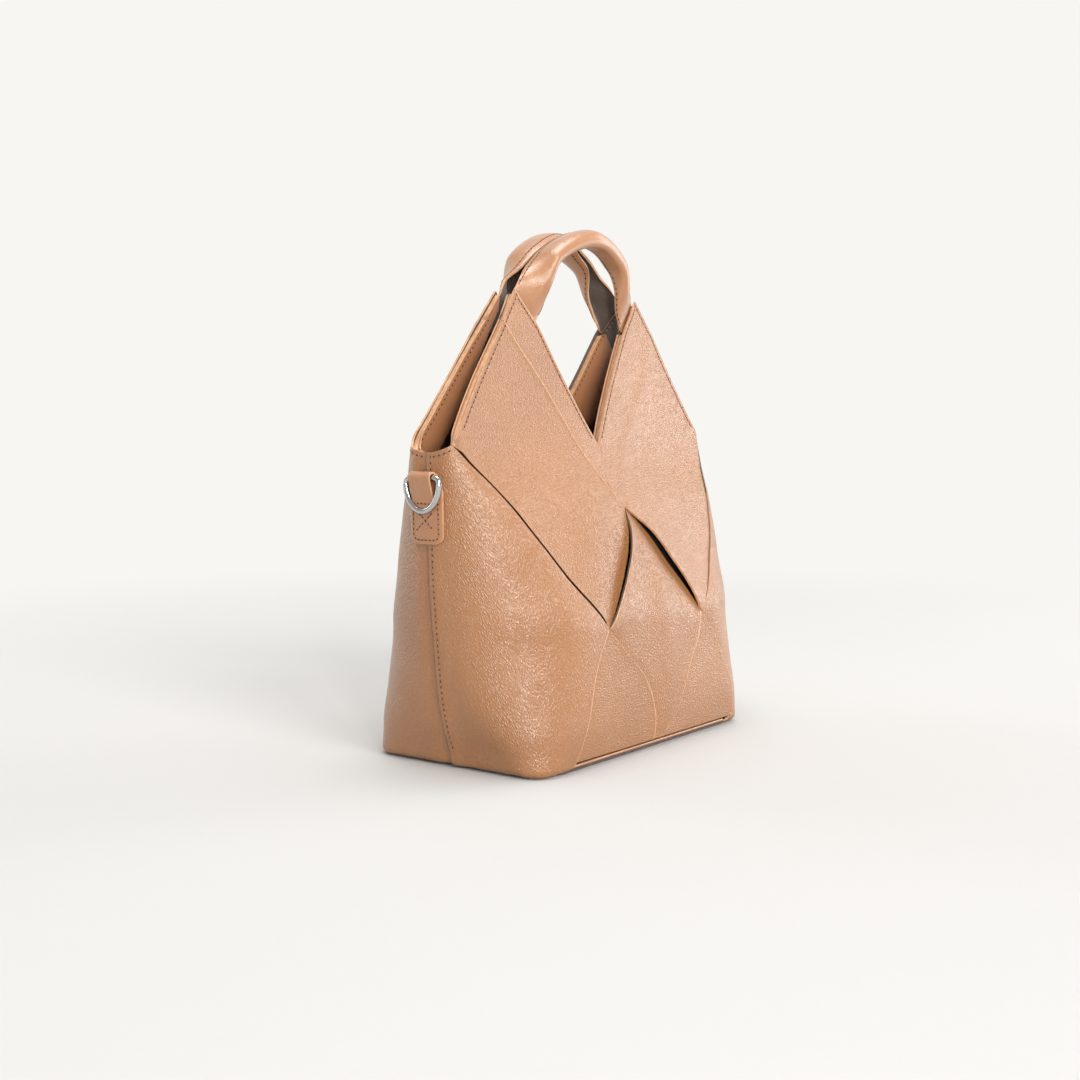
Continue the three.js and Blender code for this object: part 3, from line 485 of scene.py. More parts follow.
def edge_paint(name, dark, light):
    """Cut leather edge sealed with paint: smooth, with faint layers along it."""
    material, nodes, links, shader = new_material(name)
    layers = noise(nodes, links, coordinates(nodes, "Object"), 260.0).outputs["Fac"]
    colour_from(nodes, links, shader, layers, (0.3, dark), (0.7, light))
    relief_from(nodes, links, shader, layers, 0.05)
    set_sockets(shader, Roughness=0.45)
    return material


def woven_lining(name, dark, light):
    """Fine plain weave with soft slubs."""
    material, nodes, links, shader = new_material(name)
    cloth = coordinates(nodes, "Object")
    warp, weft = (waves(nodes, links, cloth, 330.0, direction) for direction in ("DIAGONAL", "Z"))
    for thread in (warp, weft):
        set_sockets(thread, Distortion=0.6)
    weave = maths(nodes, links, "MULTIPLY", warp.outputs["Fac"], weft.outputs["Fac"])
    slubs = noise(nodes, links, cloth, 40.0, 4.0)
    tone = weighted_sum(nodes, links, (weave, 0.4), (slubs.outputs["Fac"], 0.6))
    colour_from(nodes, links, shader, tone, (0.2, dark), (0.8, light))
    relief_from(nodes, links, shader, weave, 0.15, 0.5)
    set_sockets(shader, Roughness=0.78, Sheen_Weight=0.15)
    return material


def twisted_thread(name, dark, light, roughness=0.5):
    """Waxed thread, with the twist of its strands."""
    material, nodes, links, shader = new_material(name)
    twist = waves(nodes, links, coordinates(nodes, "Object"), 620.0, "DIAGONAL").outputs["Fac"]
    colour_from(nodes, links, shader, twist, (0.2, dark), (0.8, light))
    relief_from(nodes, links, shader, twist, 0.06)
    set_sockets(shader, Roughness=roughness)
    return material


def polished_steel(name, dark, light):
    """Bright plated wire with faint handling marks."""
    material, nodes, links, shader = new_material(name)
    marks = noise(nodes, links, coordinates(nodes, "Object"), 900.0, 5.0, 0.7).outputs["Fac"]
    gloss_from(nodes, links, shader, marks, 0.08, 0.2)
    colour_from(nodes, links, shader, marks, (0.3, dark), (0.7, light))
    set_sockets(shader, Metallic=1.0)
    return material


LEATHER = grained_leather(
    "tan_grained_leather", (0.270, 0.111, 0.037), (0.313, 0.135, 0.048), (0.356, 0.161, 0.063),
    roughness=0.37, grain_depth=0.42, coat=0.45,
)
STRAP_LEATHER = grained_leather(
    "tan_strap_leather", (0.310, 0.132, 0.049), (0.355, 0.158, 0.063), (0.395, 0.184, 0.080),
    roughness=0.36, grain_depth=0.14, coat=0.8,
)
FACING = grained_leather(
    "brown_facing_leather", (0.30, 0.125, 0.05), (0.35, 0.15, 0.063), (0.40, 0.18, 0.08),
    roughness=0.55, grain_depth=0.1,
)
FLESH = grained_leather(
    "suede_underside", (0.065, 0.042, 0.03), (0.09, 0.06, 0.044), (0.12, 0.082, 0.06),
    roughness=0.8, grain_depth=0.2, sheen=0.15,
)
EDGE = edge_paint("painted_edge", (0.42, 0.215, 0.105), (0.56, 0.32, 0.185))
# Near-black edge paint is painted shade: it darkens cut edges at the slit and seam gaps, where shade falls.
GAP_SHADE_EDGE = edge_paint("painted_gap_shade_edge", (0.022, 0.009, 0.006), (0.05, 0.02, 0.012))
LINING = woven_lining("dark_lining_cloth", (0.026, 0.022, 0.020), (0.068, 0.058, 0.052))
THREAD = twisted_thread("tan_thread", (0.21, 0.098, 0.05), (0.35, 0.18, 0.095))
BROWN_EDGE = edge_paint("brown_edge", (0.16, 0.066, 0.032), (0.25, 0.11, 0.055))
# Near-black beads on the needle holes are painted shade: they stand for the dark inside each hole.
NEEDLE_HOLE_SHADE = twisted_thread("needle_hole_shade", (0.035, 0.016, 0.01), (0.07, 0.03, 0.018), roughness=0.9)
STEEL = polished_steel("polished_steel", (0.47, 0.47, 0.48), (0.58, 0.58, 0.59))


# ---------------------------------------------------------------- making pieces
UV_PER_MM = 0.01
EDGE_ROUND = 0.35
OTHER = {"left": "right", "right": "left", "front": "back", "back": "front"}


def deselect():
    for obj in bpy.data.objects:
        obj.select_set(False)


def select_only(obj):
    deselect()
    obj.hide_viewport = False
    obj.select_set(True)
    bpy.context.view_layer.objects.active = obj


def edit(obj):
    """Opens a piece in edit mode with all of it selected."""
    select_only(obj)
    bpy.ops.object.mode_set(mode="EDIT")
    bpy.ops.mesh.select_all(action="SELECT")


def faces_outwards():
    """Turns all faces of the piece in edit mode outwards, and leaves edit mode."""
    bpy.ops.mesh.select_all(action="SELECT")
    bpy.ops.mesh.normals_make_consistent(inside=False)
    bpy.ops.object.mode_set(mode="OBJECT")


def vertex_places(obj):
    co = np.zeros(len(obj.data.vertices) * 3)
    obj.data.vertices.foreach_get("co", co)
    return co.reshape(-1, 3)


def add_grid(name, nx, ny):
    """A flat grid, with the row and column of each of its points counted from the lower left corner."""
    deselect()
    bpy.ops.mesh.primitive_grid_add(x_subdivisions=nx - 1, y_subdivisions=ny - 1, size=2)
    obj = bpy.context.object
    obj.name = obj.data.name = name
    co = vertex_places(obj)
    column = np.rint((co[:, 0] + 1) / 2 * (nx - 1)).astype(int)
    row = np.rint((co[:, 1] + 1) / 2 * (ny - 1)).astype(int)
    return obj, row, column


def shape_grid(name, points, uv, uv_turn=0.0, pale=None):
    """A grid moved onto points[row, column], in millimetres, with its UV map; pale marks faces given the pale
    edge paint, partly the real cut edge and partly a painted highlight.
    """
    ny, nx = points.shape[:2]
    obj, row, column = add_grid(name, nx, ny)
    obj.data.vertices.foreach_set("co", (points[row, column] * MM).ravel())
    c, s = math.cos(uv_turn), math.sin(uv_turn)
    flat = uv[row, column] * UV_PER_MM
    turned = np.stack([c * flat[:, 0] - s * flat[:, 1], s * flat[:, 0] + c * flat[:, 1]], axis=1)
    corners = np.zeros(len(obj.data.loops), int)
    obj.data.loops.foreach_get("vertex_index", corners)
    obj.data.uv_layers.active.data.foreach_set("uv", turned[corners].ravel())
    if pale is not None:
        for face in obj.data.polygons:
            own = list(face.vertices)
            face.material_index = int(pale[row[own].min(), column[own].min()])
    obj.data.update()
    return obj


def round_edges(obj, width, segments, sharpest):
    rounding = obj.modifiers.new("rounding", "BEVEL")
    rounding.width = width * MM
    rounding.segments = segments
    rounding.limit_method = "ANGLE"
    rounding.angle_limit = math.radians(sharpest)


def apply_modifiers(obj):
    select_only(obj)
    for modifier in list(obj.modifiers):
        bpy.ops.object.modifier_apply(modifier=modifier.name)


def skin(obj, thickness, materials, edge_round=EDGE_ROUND):
    """Gives a sheet its thickness inwards, with materials for its face, cut edge and back."""
    for material in materials:
        obj.data.materials.append(material)
    wall = obj.modifiers.new("wall", "SOLIDIFY")
    wall.thickness = thickness * MM
    wall.offset = -1
    wall.material_offset_rim = min(1, len(materials) - 1)
    wall.material_offset = 2 if len(materials) > 2 else 0
    if edge_round:
        round_edges(obj, edge_round, 2, 55)
    apply_modifiers(obj)
    bpy.ops.object.shade_smooth_by_angle(angle=math.radians(40))
    return obj


def finish(obj, slot, *nodes, body="bag"):
    """Gives a piece its body and hides the CAD nodes that it stands for; slot is not used."""
    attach(obj, body)
    if nodes:
        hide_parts(*nodes)
    return obj


def turned_copy(obj, name):
    """A copy with its own mesh, turned half round the bag's upright axis."""
    copy = obj.copy()
    copy.data = obj.data.copy()
    copy.name = copy.data.name = name
    copy.parent = None
    bpy.context.scene.collection.objects.link(copy)
    copy.data.transform(Matrix.Rotation(math.pi, 4, "Z"))
    copy.matrix_world = Matrix.Identity(4)
    return copy


def front_and_back(obj, side, piece, slot, *node_pieces):
    """Finishes a piece of the front and its copy on the back, for the nodes named by their endings."""
    front, back = (f"front_{side}_", f"back_{OTHER[side]}_") if side else ("front_", "back_")
    obj.name = obj.data.name = f"{front}{piece}_leather"
    copy = turned_copy(obj, f"{back}{piece}_leather")
    finish(obj, slot, *[front + p for p in node_pieces])
    finish(copy, slot, *[back + p for p in node_pieces])


def ripple(around, z):
    """Slow uneven waves of hand-shaped leather, in millimetres."""
    a = np.sin(around / 31 + 1.3) * np.sin(z / 43 + 2.2)
    b = np.sin(around / 17 - z / 29 + 3.0) * 0.4
    c = np.sin((around + z) / 61 + 0.8)
    return 0.25 * (a + b + c)


HAND = {"left": -1, "right": 1}
lines = {
    side: {
        "outer_slit": line_across(OUTER_SLIT, hand, 60),
        "inner_slit": line_across(INNER_SLIT[hand], hand, 46),
        "strip_line": line_across(STRIP_LINE[hand], hand, 60),
        "inner_crease": line_across(INNER_CREASE[hand], hand, 46),
        "outer_crease": line_across(OUTER_CREASE[hand], hand, 46),
        "opening_edge": line_across([EDGE_STEP, SHOULDER], hand, 46),
        "peak_edge": line_across([PEAK, EDGE_STEP], hand, 14),
        "notch_edge": joined(
            line_across([PEAK, HANDLE_ROOT], hand, 16), line_across([HANDLE_ROOT, NOTCH], hand, 46)
        ),
    }
    for side, hand in HAND.items()
}

# How far the long slits bow off their straight run: shares along, and millimetres there
SLIT_BOW = {
    "left": ((0, 0.06, 0.3, 0.6, 0.85, 1), (0, 2.8, 3.2, 2.9, 2.2, 0)),
    "right": ((0, 0.1, 0.4, 0.7, 0.85, 1), (0, 2.2, 2.8, 2.2, 0.5, 0)),
}
for side, (at, off) in SLIT_BOW.items():
    slit = lines[side]["outer_slit"]
    bow = np.interp(np.linspace(0, 1, len(slit)), at, off)
    for _ in range(8):
        bow[1:-1] = 0.5 * bow[1:-1] + 0.25 * (bow[2:] + bow[:-2])
    lines[side]["outer_slit"] = shifted(slit, bow)

FOOT = 0.3
LIP_FOOT = 6.2
LOWEST = 0.4
HEM_RADIUS = 5.0
RIM_SAG = 190.6
SLIT_FOOT_HEIGHT = height_of(SLIT_FOOT)

# How the panels lap: at a crease the camera's side lies on top, TUCK past the line
TUCK = 1.0
CREASE_STEP = 0.28
CREASE_WIDTH = 3.0
SEAM_LAP = 1.5
CROSS_DIVE = 1.1

# Points across and up each panel's grid, and how much closer together they lie at its edges
SIDE_GRID, SIDE_DENSE = (60, 100), 0.5
LOWER_GRID, LOWER_DENSE = (48, 54), 0.5
CENTRE_GRID, CENTRE_DENSE = (48, 96), 0.4
STRIP_GRID, STRIP_DENSE = (26, 100), 0.4
LEFT_SHOULDER_GRID, RIGHT_SHOULDER_GRID, SHOULDER_DENSE = (76, 70), (76, 90), 0.72

# Where the two halves lap below the notch: the right half's hidden edge, and the left strip's tip
HIDDEN_EDGE = [(-3.5, 184.0), (-7.0, 172.0), (-4.0, 160.0)]
STRIP_TIP = [(1.6, 189.0), (4.4, 182.5), (4.0, 172.0), (1.5, 158.0)]
LAP_TOP = 191.0
# Where their hidden edges run, as (heights, ways round)
LAP_LOW = ((160, 172, 184, 189.5), (-4.0, -7.0, -3.5, 0.0))
LAP_HIGH = ((158, 172, 182.5, 189.5), (1.5, 4.0, 4.4, 1.4))


def foot_roll(z):
    """How far the skin turns in under the bag above its foot."""
    rise = np.clip((HEM_RADIUS + FOOT - z) / HEM_RADIUS, 0, 1)
    return HEM_RADIUS * (1 - np.sqrt(np.clip(1 - rise**2, 0, 1)))


def hump(t, power=1.0):
    """0 at both ends of a line and 1 in the middle, flatter with a small power."""
    return np.clip(np.sin(math.pi * np.clip(t, 0, 1)), 0, 1) ** power


def along_line(line):
    return np.linspace(0, 1, len(line))


def rim_height(t):
    """Height of the rim from the shoulder (0) to the side seam (1), rounded like a U."""
    start = height_of(SHOULDER)
    return RIM_SAG + (start - RIM_SAG) * (1 - np.sin(math.pi / 2 * np.clip(t, 0, 1)) ** 0.8)


def covered(places, line, width):
    """1 where places lie past a line on the far side from the panel's middle, falling to 0 within width."""
    signed, _ = near(places, line)
    own = np.sign(signed) * np.sign(np.median(signed))
    return 1 - smoothstep(np.where(own > 0, np.abs(signed), 0), 0.0, width)


def beside(places, line, width):
    """How close places are to a line, 1 on it, and the share along the line."""
    signed, share = near(places, line)
    return np.exp(-((signed / width) ** 2)), share


def crease_step(places, line):
    """How far the skin steps at a crease, for the panel on the covered side."""
    return CREASE_STEP * beside(places, line, CREASE_WIDTH)[0]


def cross_share(around, z):
    """0 at the right half's hidden edge to 1 at the left strip's, where the two lap below the notch."""
    low, high = np.interp(z, *LAP_LOW), np.interp(z, *LAP_HIGH)
    return (around - low) / (high - low)


def cross_zone(z, low):
    """1 where the two halves lap below the notch, fading out at its tip and above low."""
    return smoothstep(LAP_TOP - z, 0, 2.0) * smoothstep(z, low, low + 8)


def no_pale_highlight_faces(places):
    return np.zeros((places.shape[0] - 1, places.shape[1] - 1), int)


PAINT_REACH = 4.5


def paint_edge(obj, line, paint):
    """Gives the cut edge near a line its own edge paint."""
    obj.data.materials.append(paint)
    own = len(obj.data.materials) - 1
    line = line[2:-2] * MM
    for face in [face for face in obj.data.polygons if face.material_index == 1]:
        if np.linalg.norm(line - np.array(face.center), axis=1).min() < PAINT_REACH * MM:
            face.material_index = own


def sheet_of_leather(name, places, depth, grain_turn, painted=(), pale=None):
    """A leather panel; painted lists lines whose cut edge has another paint, near black where that is painted
    gap shade; pale marks top faces given the pale edge paint, partly a painted highlight.
    """
    points = bag_point(places[..., 0], places[..., 1], depth)
    points[..., 2] = np.maximum(points[..., 2], LOWEST)
    obj = shape_grid(name, points, places, math.radians(grain_turn), pale)
    skin(obj, SKIN, [LEATHER, EDGE, FLESH])
    for line, paint in painted:
        paint_edge(obj, bag_point(line[:, 0], line[:, 1], 0.5), paint)
    return obj


def side_panel(side):
    """The big panel from the slit round to the seam; at the seam the left one lies over the right one."""
    hand, line = HAND[side], lines[side]
    on_top = side == "left"
    outer = line["outer_slit"]
    inner = resample(cut_at(joined(outer, line["outer_crease"]), FOOT), 120)[::-1]
    if not on_top:
        inner[:, 0] -= TUCK * smoothstep(SLIT_FOOT_HEIGHT - inner[:, 1], 2, 10)
    share = (inner[:, 1] - inner[0, 1]) / (inner[-1, 1] - inner[0, 1])
    seam_z = FOOT + (RIM_SAG - FOOT) * share
    seam = np.stack([hand * (seam_at(seam_z) - (0.0 if on_top else SEAM_LAP)), seam_z], axis=1)
    foot, top = resample([inner[0], seam[0]], 60), resample([inner[-1], seam[-1]], 60)
    reach = np.abs(seam_at(RIM_SAG) - np.abs(top[0, 0]))
    top[:, 1] = rim_height(np.abs(top[:, 0] - top[0, 0]) / reach)
    edges = (foot[::-1], inner, top[::-1], seam) if on_top else (foot, seam, top, inner)
    places = fill(*edges, SIDE_GRID, SIDE_DENSE)
    around, z = places[..., 0], places[..., 1]
    by_slit, t_slit = beside(places, outer, 14)
    past_seam = hand * around - seam_at(z)
    depth = -0.25 * by_slit * hump(t_slit, 0.5)
    if on_top:
        depth -= 0.9 * smoothstep(past_seam, -14, -1)
    else:
        depth += (0.5 + 0.9 * smoothstep(RIM_SAG - z, 1, 12)) * smoothstep(past_seam, -12, -1)
    depth += crease_step(places, line["outer_crease"]) * hand
    depth += foot_roll(z) - ripple(around, z)
    pale = no_pale_highlight_faces(places)
    # Below the slit foot the left panel's crease edge gets the pale edge paint on its top faces: partly the
    # real cut edge, partly a painted highlight.
    if on_top:
        pale[:, -1] = z[:-1, -1] < SLIT_FOOT_HEIGHT - 1
    # On the right panel the seam edge and the upper part of the slit edge get near-black paint as painted
    # shade of the gap; the rest of the slit edge keeps its brown edge paint.
    painted = [] if on_top else [(seam, GAP_SHADE_EDGE), (outer[:20], GAP_SHADE_EDGE), (outer[18:], BROWN_EDGE)]
    sheet = sheet_of_leather(f"front_{side}_side", places, depth, 72 if on_top else -60, painted, pale)
    front_and_back(sheet, side, "side_panel", "leather", "side_panel")


def left_shoulder_panel():
    """Lies over the strip, and stops just short of the side panel, with a gap between them whose cut edge is
    painted near black as painted shade.
    """
    line = lines["left"]
    outer, inner, strip = line["outer_slit"], line["inner_slit"], line["strip_line"]
    t = along_line(outer)
    short = shifted(outer, 2.1 * smoothstep(t, 0, 0.06) * smoothstep(1 - t, 0, 0.05))
    under_centre = shifted(inner, 2.0 * hump(along_line(inner), 0.7))
    edges = (short, under_centre[::-1], strip[::-1], line["opening_edge"][::-1])
    places = fill(*edges, LEFT_SHOULDER_GRID, SHOULDER_DENSE)
    around, z = places[..., 0], places[..., 1]
    by_outer, t_outer = beside(places, outer, 9)
    by_inner, t_inner = beside(places, inner, 10)
    by_strip, _ = beside(places, strip, 2.4)
    from_inner, _ = near(places, inner)
    swell = np.exp(-(((np.abs(from_inner) - 30) / 16) ** 2))
    depth = 0.35 * by_outer * hump(t_outer, 0.5)
    depth = depth + 2.1 * hump(t_inner, 0.55) * by_inner
    depth = depth - 0.4 * by_strip * (1 - by_inner)
    depth = depth - 1.3 * hump(t_inner) * swell
    depth = depth - ripple(around, z)
    pale = no_pale_highlight_faces(places)
    # The two rows along the strip line get the pale edge paint: a painted highlight of the rim catching the
    # light, over the real cut edge.
    pale[-2:] = 1
    sheet = sheet_of_leather("front_left_shoulder", places, depth, 35, [(short, GAP_SHADE_EDGE)], pale)
    front_and_back(sheet, "left", "shoulder_panel", "leather", "shoulder_panel")


def right_shoulder_panel():
    """One piece with the strip beside the notch; it lies over the middle panel, under the side panel."""
    line = lines["right"]
    outer, inner, strip = line["outer_slit"], line["inner_slit"], line["strip_line"]
    t = along_line(outer)
    under_side = shifted(outer, 3.0 * smoothstep(1 - t, 0, 0.2) * smoothstep(t, 0, 0.06))
    over_centre = shifted(inner, 0.5 * hump(along_line(inner)))
    hidden = smooth_line([line["notch_edge"][-1], *HIDDEN_EDGE, tuple(inner[0])], 20)
    notch_edge = joined(line["notch_edge"], hidden)
    top = joined(line["peak_edge"], line["opening_edge"])
    places = fill(over_centre, under_side[::-1], top, notch_edge[::-1], RIGHT_SHOULDER_GRID, SHOULDER_DENSE)
    around, z = places[..., 0], places[..., 1]
    _, t_outer = near(places, outer)
    by_inner, t_inner = beside(places, inner, 17)
    by_strip, t_strip = beside(places, strip, 6)
    depth = 0.6 * covered(places, outer, 6) * smoothstep(t_outer, 0, 0.2) * smoothstep(1 - t_outer, 0, 0.12)
    depth = depth - 2.2 * hump(t_inner, 0.6) * by_inner
    depth = depth - 1.0 * by_strip * hump(t_strip, 0.4)
    depth = depth + CROSS_DIVE * (1 - smoothstep(cross_share(around, z), 0.05, 0.65)) * cross_zone(z, 171)
    depth = depth - ripple(around, z)
    sheet = sheet_of_leather("front_right_shoulder", places, depth, -20)
    front_and_back(sheet, "right", "shoulder_panel", "leather", "shoulder_panel", "peak_strip")


def left_peak_strip():
    """Crosses over the right half below the notch, then runs in under the left shoulder panel."""
    line = lines["left"]
    strip = line["strip_line"]
    right = joined(line["notch_edge"], smooth_line([line["notch_edge"][-1]] + STRIP_TIP, 24))
    t = along_line(strip)
    under = shifted(strip, -0.8 * smoothstep(t, 0.02, 0.12) * smoothstep(1 - t, 0, 0.1))
    bottom = np.array([under[-1], right[-1]])
    places = fill(bottom, right[::-1], line["peak_edge"][::-1], under[::-1], STRIP_GRID, STRIP_DENSE)
    around, z = places[..., 0], places[..., 1]
    depth = 0.4 * smoothstep(288 - z, 0, 16) * smoothstep(z, 186, 200)
    depth = depth + 1.3 * (1 - smoothstep(z, 158, 173)) - ripple(around, z)
    depth = depth + CROSS_DIVE * smoothstep(cross_share(around, z), 0.35, 0.95) * cross_zone(z, 150)
    pale = no_pale_highlight_faces(places)
    # Above the tip the strip's right edge gets the pale edge paint on its top faces: partly the real cut
    # edge, partly a painted highlight.
    pale[:, -1] = z[:-1, -1] > STRIP_TIP[1][1]
    sheet = sheet_of_leather("front_left_strip", places, depth, -30, pale=pale)
    front_and_back(sheet, "left", "peak_strip", "leather", "peak_strip")


def centre_panel():
    """The kite in the middle: its left edge stands out over the left shoulder, its right edge tucks in."""
    left, right = lines["left"], lines["right"]
    t = along_line(left["inner_slit"])
    left_edge = joined(shifted(left["inner_slit"], 0.9 * hump(t, 0.8)), left["inner_crease"])
    right_edge = joined(shifted(right["inner_slit"], 1.0 * hump(t, 0.7)), right["inner_crease"])
    left_edge = resample(cut_at(left_edge, LIP_FOOT), 120)[::-1]
    right_edge = resample(cut_at(right_edge, LIP_FOOT), 120)[::-1]
    left_edge[:, 0] -= TUCK * smoothstep(SLIT_FOOT_HEIGHT - left_edge[:, 1], 2, 10)
    right_edge[-1, 0] += 0.25
    bottom, top = (np.array([left_edge[k], right_edge[k]]) for k in (0, -1))
    places = fill(bottom, right_edge, top, left_edge, CENTRE_GRID, CENTRE_DENSE)
    around, z = places[..., 0], places[..., 1]
    by_left, t_left = beside(places, left["inner_slit"], 15)
    by_right, t_right = beside(places, right["inner_slit"], 11)
    fold = line_across([(0.05, 0.62, 0), (0.1, 0.3, 0), (0.06, 0.05, 0)], 1, 30)
    by_fold, t_fold = beside(places, fold, 13)
    depth = 3.7 * hump(t_right, 0.55) * by_right - 2.8 * hump(t_left, 0.55) * by_left
    depth -= 1.9 * by_fold * hump(t_fold, 0.5)
    depth += crease_step(places, left["inner_crease"]) - crease_step(places, right["inner_crease"])
    depth -= ripple(around, z)
    pale = no_pale_highlight_faces(places)
    # Pale edge paint on the top faces along the creases: partly the real cut edge, partly a painted
    # highlight.
    pale[:, 0] = z[:-1, 0] > SLIT_FOOT_HEIGHT - 1
    pale[:, -1] = z[:-1, -1] < SLIT_FOOT_HEIGHT - 1
    sheet = sheet_of_leather("front_centre", places, depth, 60, pale=pale)
    front_and_back(sheet, "", "centre_panel", "leather", "centre_panel")


def lower_panel(side):
    """The triangle between the two creases and the bottom edge."""
    hand, line = HAND[side], lines[side]
    inner, outer = (
        resample(cut_at(line[crease], LIP_FOOT), 60)[::-1] for crease in ("inner_crease", "outer_crease")
    )
    covered_edge = outer if side == "left" else inner
    covered_edge[:, 0] -= TUCK * smoothstep(np.linspace(1, 0, 60), 0, 0.08)
    inner[-1, 0] -= 0.15 * hand
    outer[-1, 0] += 0.15 * hand
    west, east = (inner, outer) if hand > 0 else (outer, inner)
    bottom, top = (np.array([west[k], east[k]]) for k in (0, -1))
    places = fill(bottom, east, top, west, LOWER_GRID, LOWER_DENSE)
    around, z = places[..., 0], places[..., 1]
    depth = crease_step(places, line["inner_crease"]) - crease_step(places, line["outer_crease"])
    depth = depth * hand - ripple(around, z)
    pale = no_pale_highlight_faces(places)
    # Pale edge paint on the top faces along the crease: partly the real cut edge, partly a painted highlight.
    pale[:, -1] = 1
    sheet = sheet_of_leather(f"front_{side}_lower", places, depth, 20 * hand, pale=pale)
    front_and_back(sheet, side, "lower_panel", "leather", "lower_panel")


for side in HAND:
    side_panel(side)
    lower_panel(side)
left_shoulder_panel()
right_shoulder_panel()
left_peak_strip()
centre_panel()

# ---------------------------------------------------------------- rims, facings and lining
WELT_SET_BACK = 1.1
WELT_DEPTH = 1.9
WELT_WALL = 2.8
WELT_REACH = 7
FACING_SET_BACK = 0.3
FACING_DEPTH = 5.0
FACING_WALL = 1.1
NOTCH_SHARE = 0.985


def mirror_across(line):
    return line[::-1] * np.array([-1, 1])


def mirror_at_seam(line):
    back = line[::-1].copy()
    back[:, 0] = 2 * seam_at(back[:, 1]) - back[:, 0]
    return back


def both_hands(line):
    """A line from the middle outwards, joined to its mirror image on the other hand."""
    return joined(mirror_across(line), line)


def both_faces(line):
    """A line on the front, run on over the side seam to the back."""
    return joined(line, mirror_at_seam(line))


def band(name, rim, inner, steps, depth, wall, material):
    """A strip behind the skin; rows run from the inner line up to the rim."""
    share = np.linspace(0, 1, steps)[:, None, None]
    places = inner[None] * (1 - share) + rim[None] * share
    obj = shape_grid(name, bag_point(places[..., 0], places[..., 1], depth), places)
    return skin(obj, wall, [material, EDGE], edge_round=0.3)


def welt(name, rim):
    """The leather that wraps the raw edge between the skin and the facing."""
    inner = shifted(rim, -WELT_REACH)
    return band(name, shifted(rim, -WELT_SET_BACK), inner, 6, WELT_DEPTH, WELT_WALL, STRAP_LEATHER)


def facing(name, rim, inner):
    """The plain leather that lines the top of the bag, down to the lining."""
    return band(name, shifted(rim, -FACING_SET_BACK), inner, 14, FACING_DEPTH, FACING_WALL, FACING)


def both_sides(obj, piece, slot, *, replaces=True):
    """Finishes a piece of the right side and its copy on the left."""
    obj.name = obj.data.name = f"right_{piece}"
    copy = turned_copy(obj, f"left_{piece}")
    node = piece.removesuffix("_leather")
    finish(obj, slot, *([f"right_{node}"] if replaces else []))
    finish(copy, slot, *([f"left_{node}"] if replaces else []))


notch_root = place(HANDLE_ROOT)
notch_low = place(NOTCH)
notch_half = resample([notch_low, notch_low + (notch_root - notch_low) * NOTCH_SHARE], 44)
notch_rim = both_hands(notch_half)
front_and_back(welt("front_notch_welt", notch_rim), "", "notch_welt", "leather", "notch_welt")
notch_inner = both_hands(resample([place(r) for r in NOTCH_FACING] + [notch_half[-1] + (6.0, 1.0)], 44))
notch_facing = facing("front_notch_facing", notch_rim, notch_inner)
front_and_back(notch_facing, "", "notch_facing", "facing_leather", "notch_facing")

opening_peak = smooth_line([place(r) for r in ((0.49, 1, 0.985), EDGE_STEP)], 8)
opening_side = line_across([EDGE_STEP, (0.80, 1, 0.395), (0.945, 1, 0.1), SHOULDER], 1, 44)
shoulder_around = place(SHOULDER)[0]
opening_turn = smooth_line([
    (shoulder_around + (seam_at(RIM_SAG) - shoulder_around) * t, rim_height(t) - 0.4 * min(1, 2 * t))
    for t in (0.0, 0.1, 0.3, 0.6, 1.0)
], 12)
opening_rim = both_faces(joined(opening_peak, opening_side, opening_turn))
facing_foot = np.array([seam_at(FACING_FOOT), FACING_FOOT])
opening_inner = [place(OPENING_FACING_START)] + [place(r) for r in OPENING_FACING] + [facing_foot]
opening_inner = both_faces(smooth_line(opening_inner, (len(opening_rim) + 1) // 2))
both_sides(welt("opening_welt", opening_rim), "opening_welt_leather", "leather")
opening_facing = facing("opening_facing", opening_rim, 0.7 * opening_inner + 0.3 * opening_rim)
both_sides(opening_facing, "opening_facing_leather", "facing_leather")

LINING_FOOT = 3.6
LINING_DEPTH = 5.7
LINING_SLACK = 4.2
LINING_WALL = 0.6
CLOTH_FOLD = 0.9
FLOOR_HOLE = 0.12


def open_edges(obj):
    """The keys of edges that have one face only."""
    counts = {}
    for face in obj.data.polygons:
        for key in face.edge_keys:
            counts[key] = counts.get(key, 0) + 1
    return {key for key, count in counts.items() if count == 1}


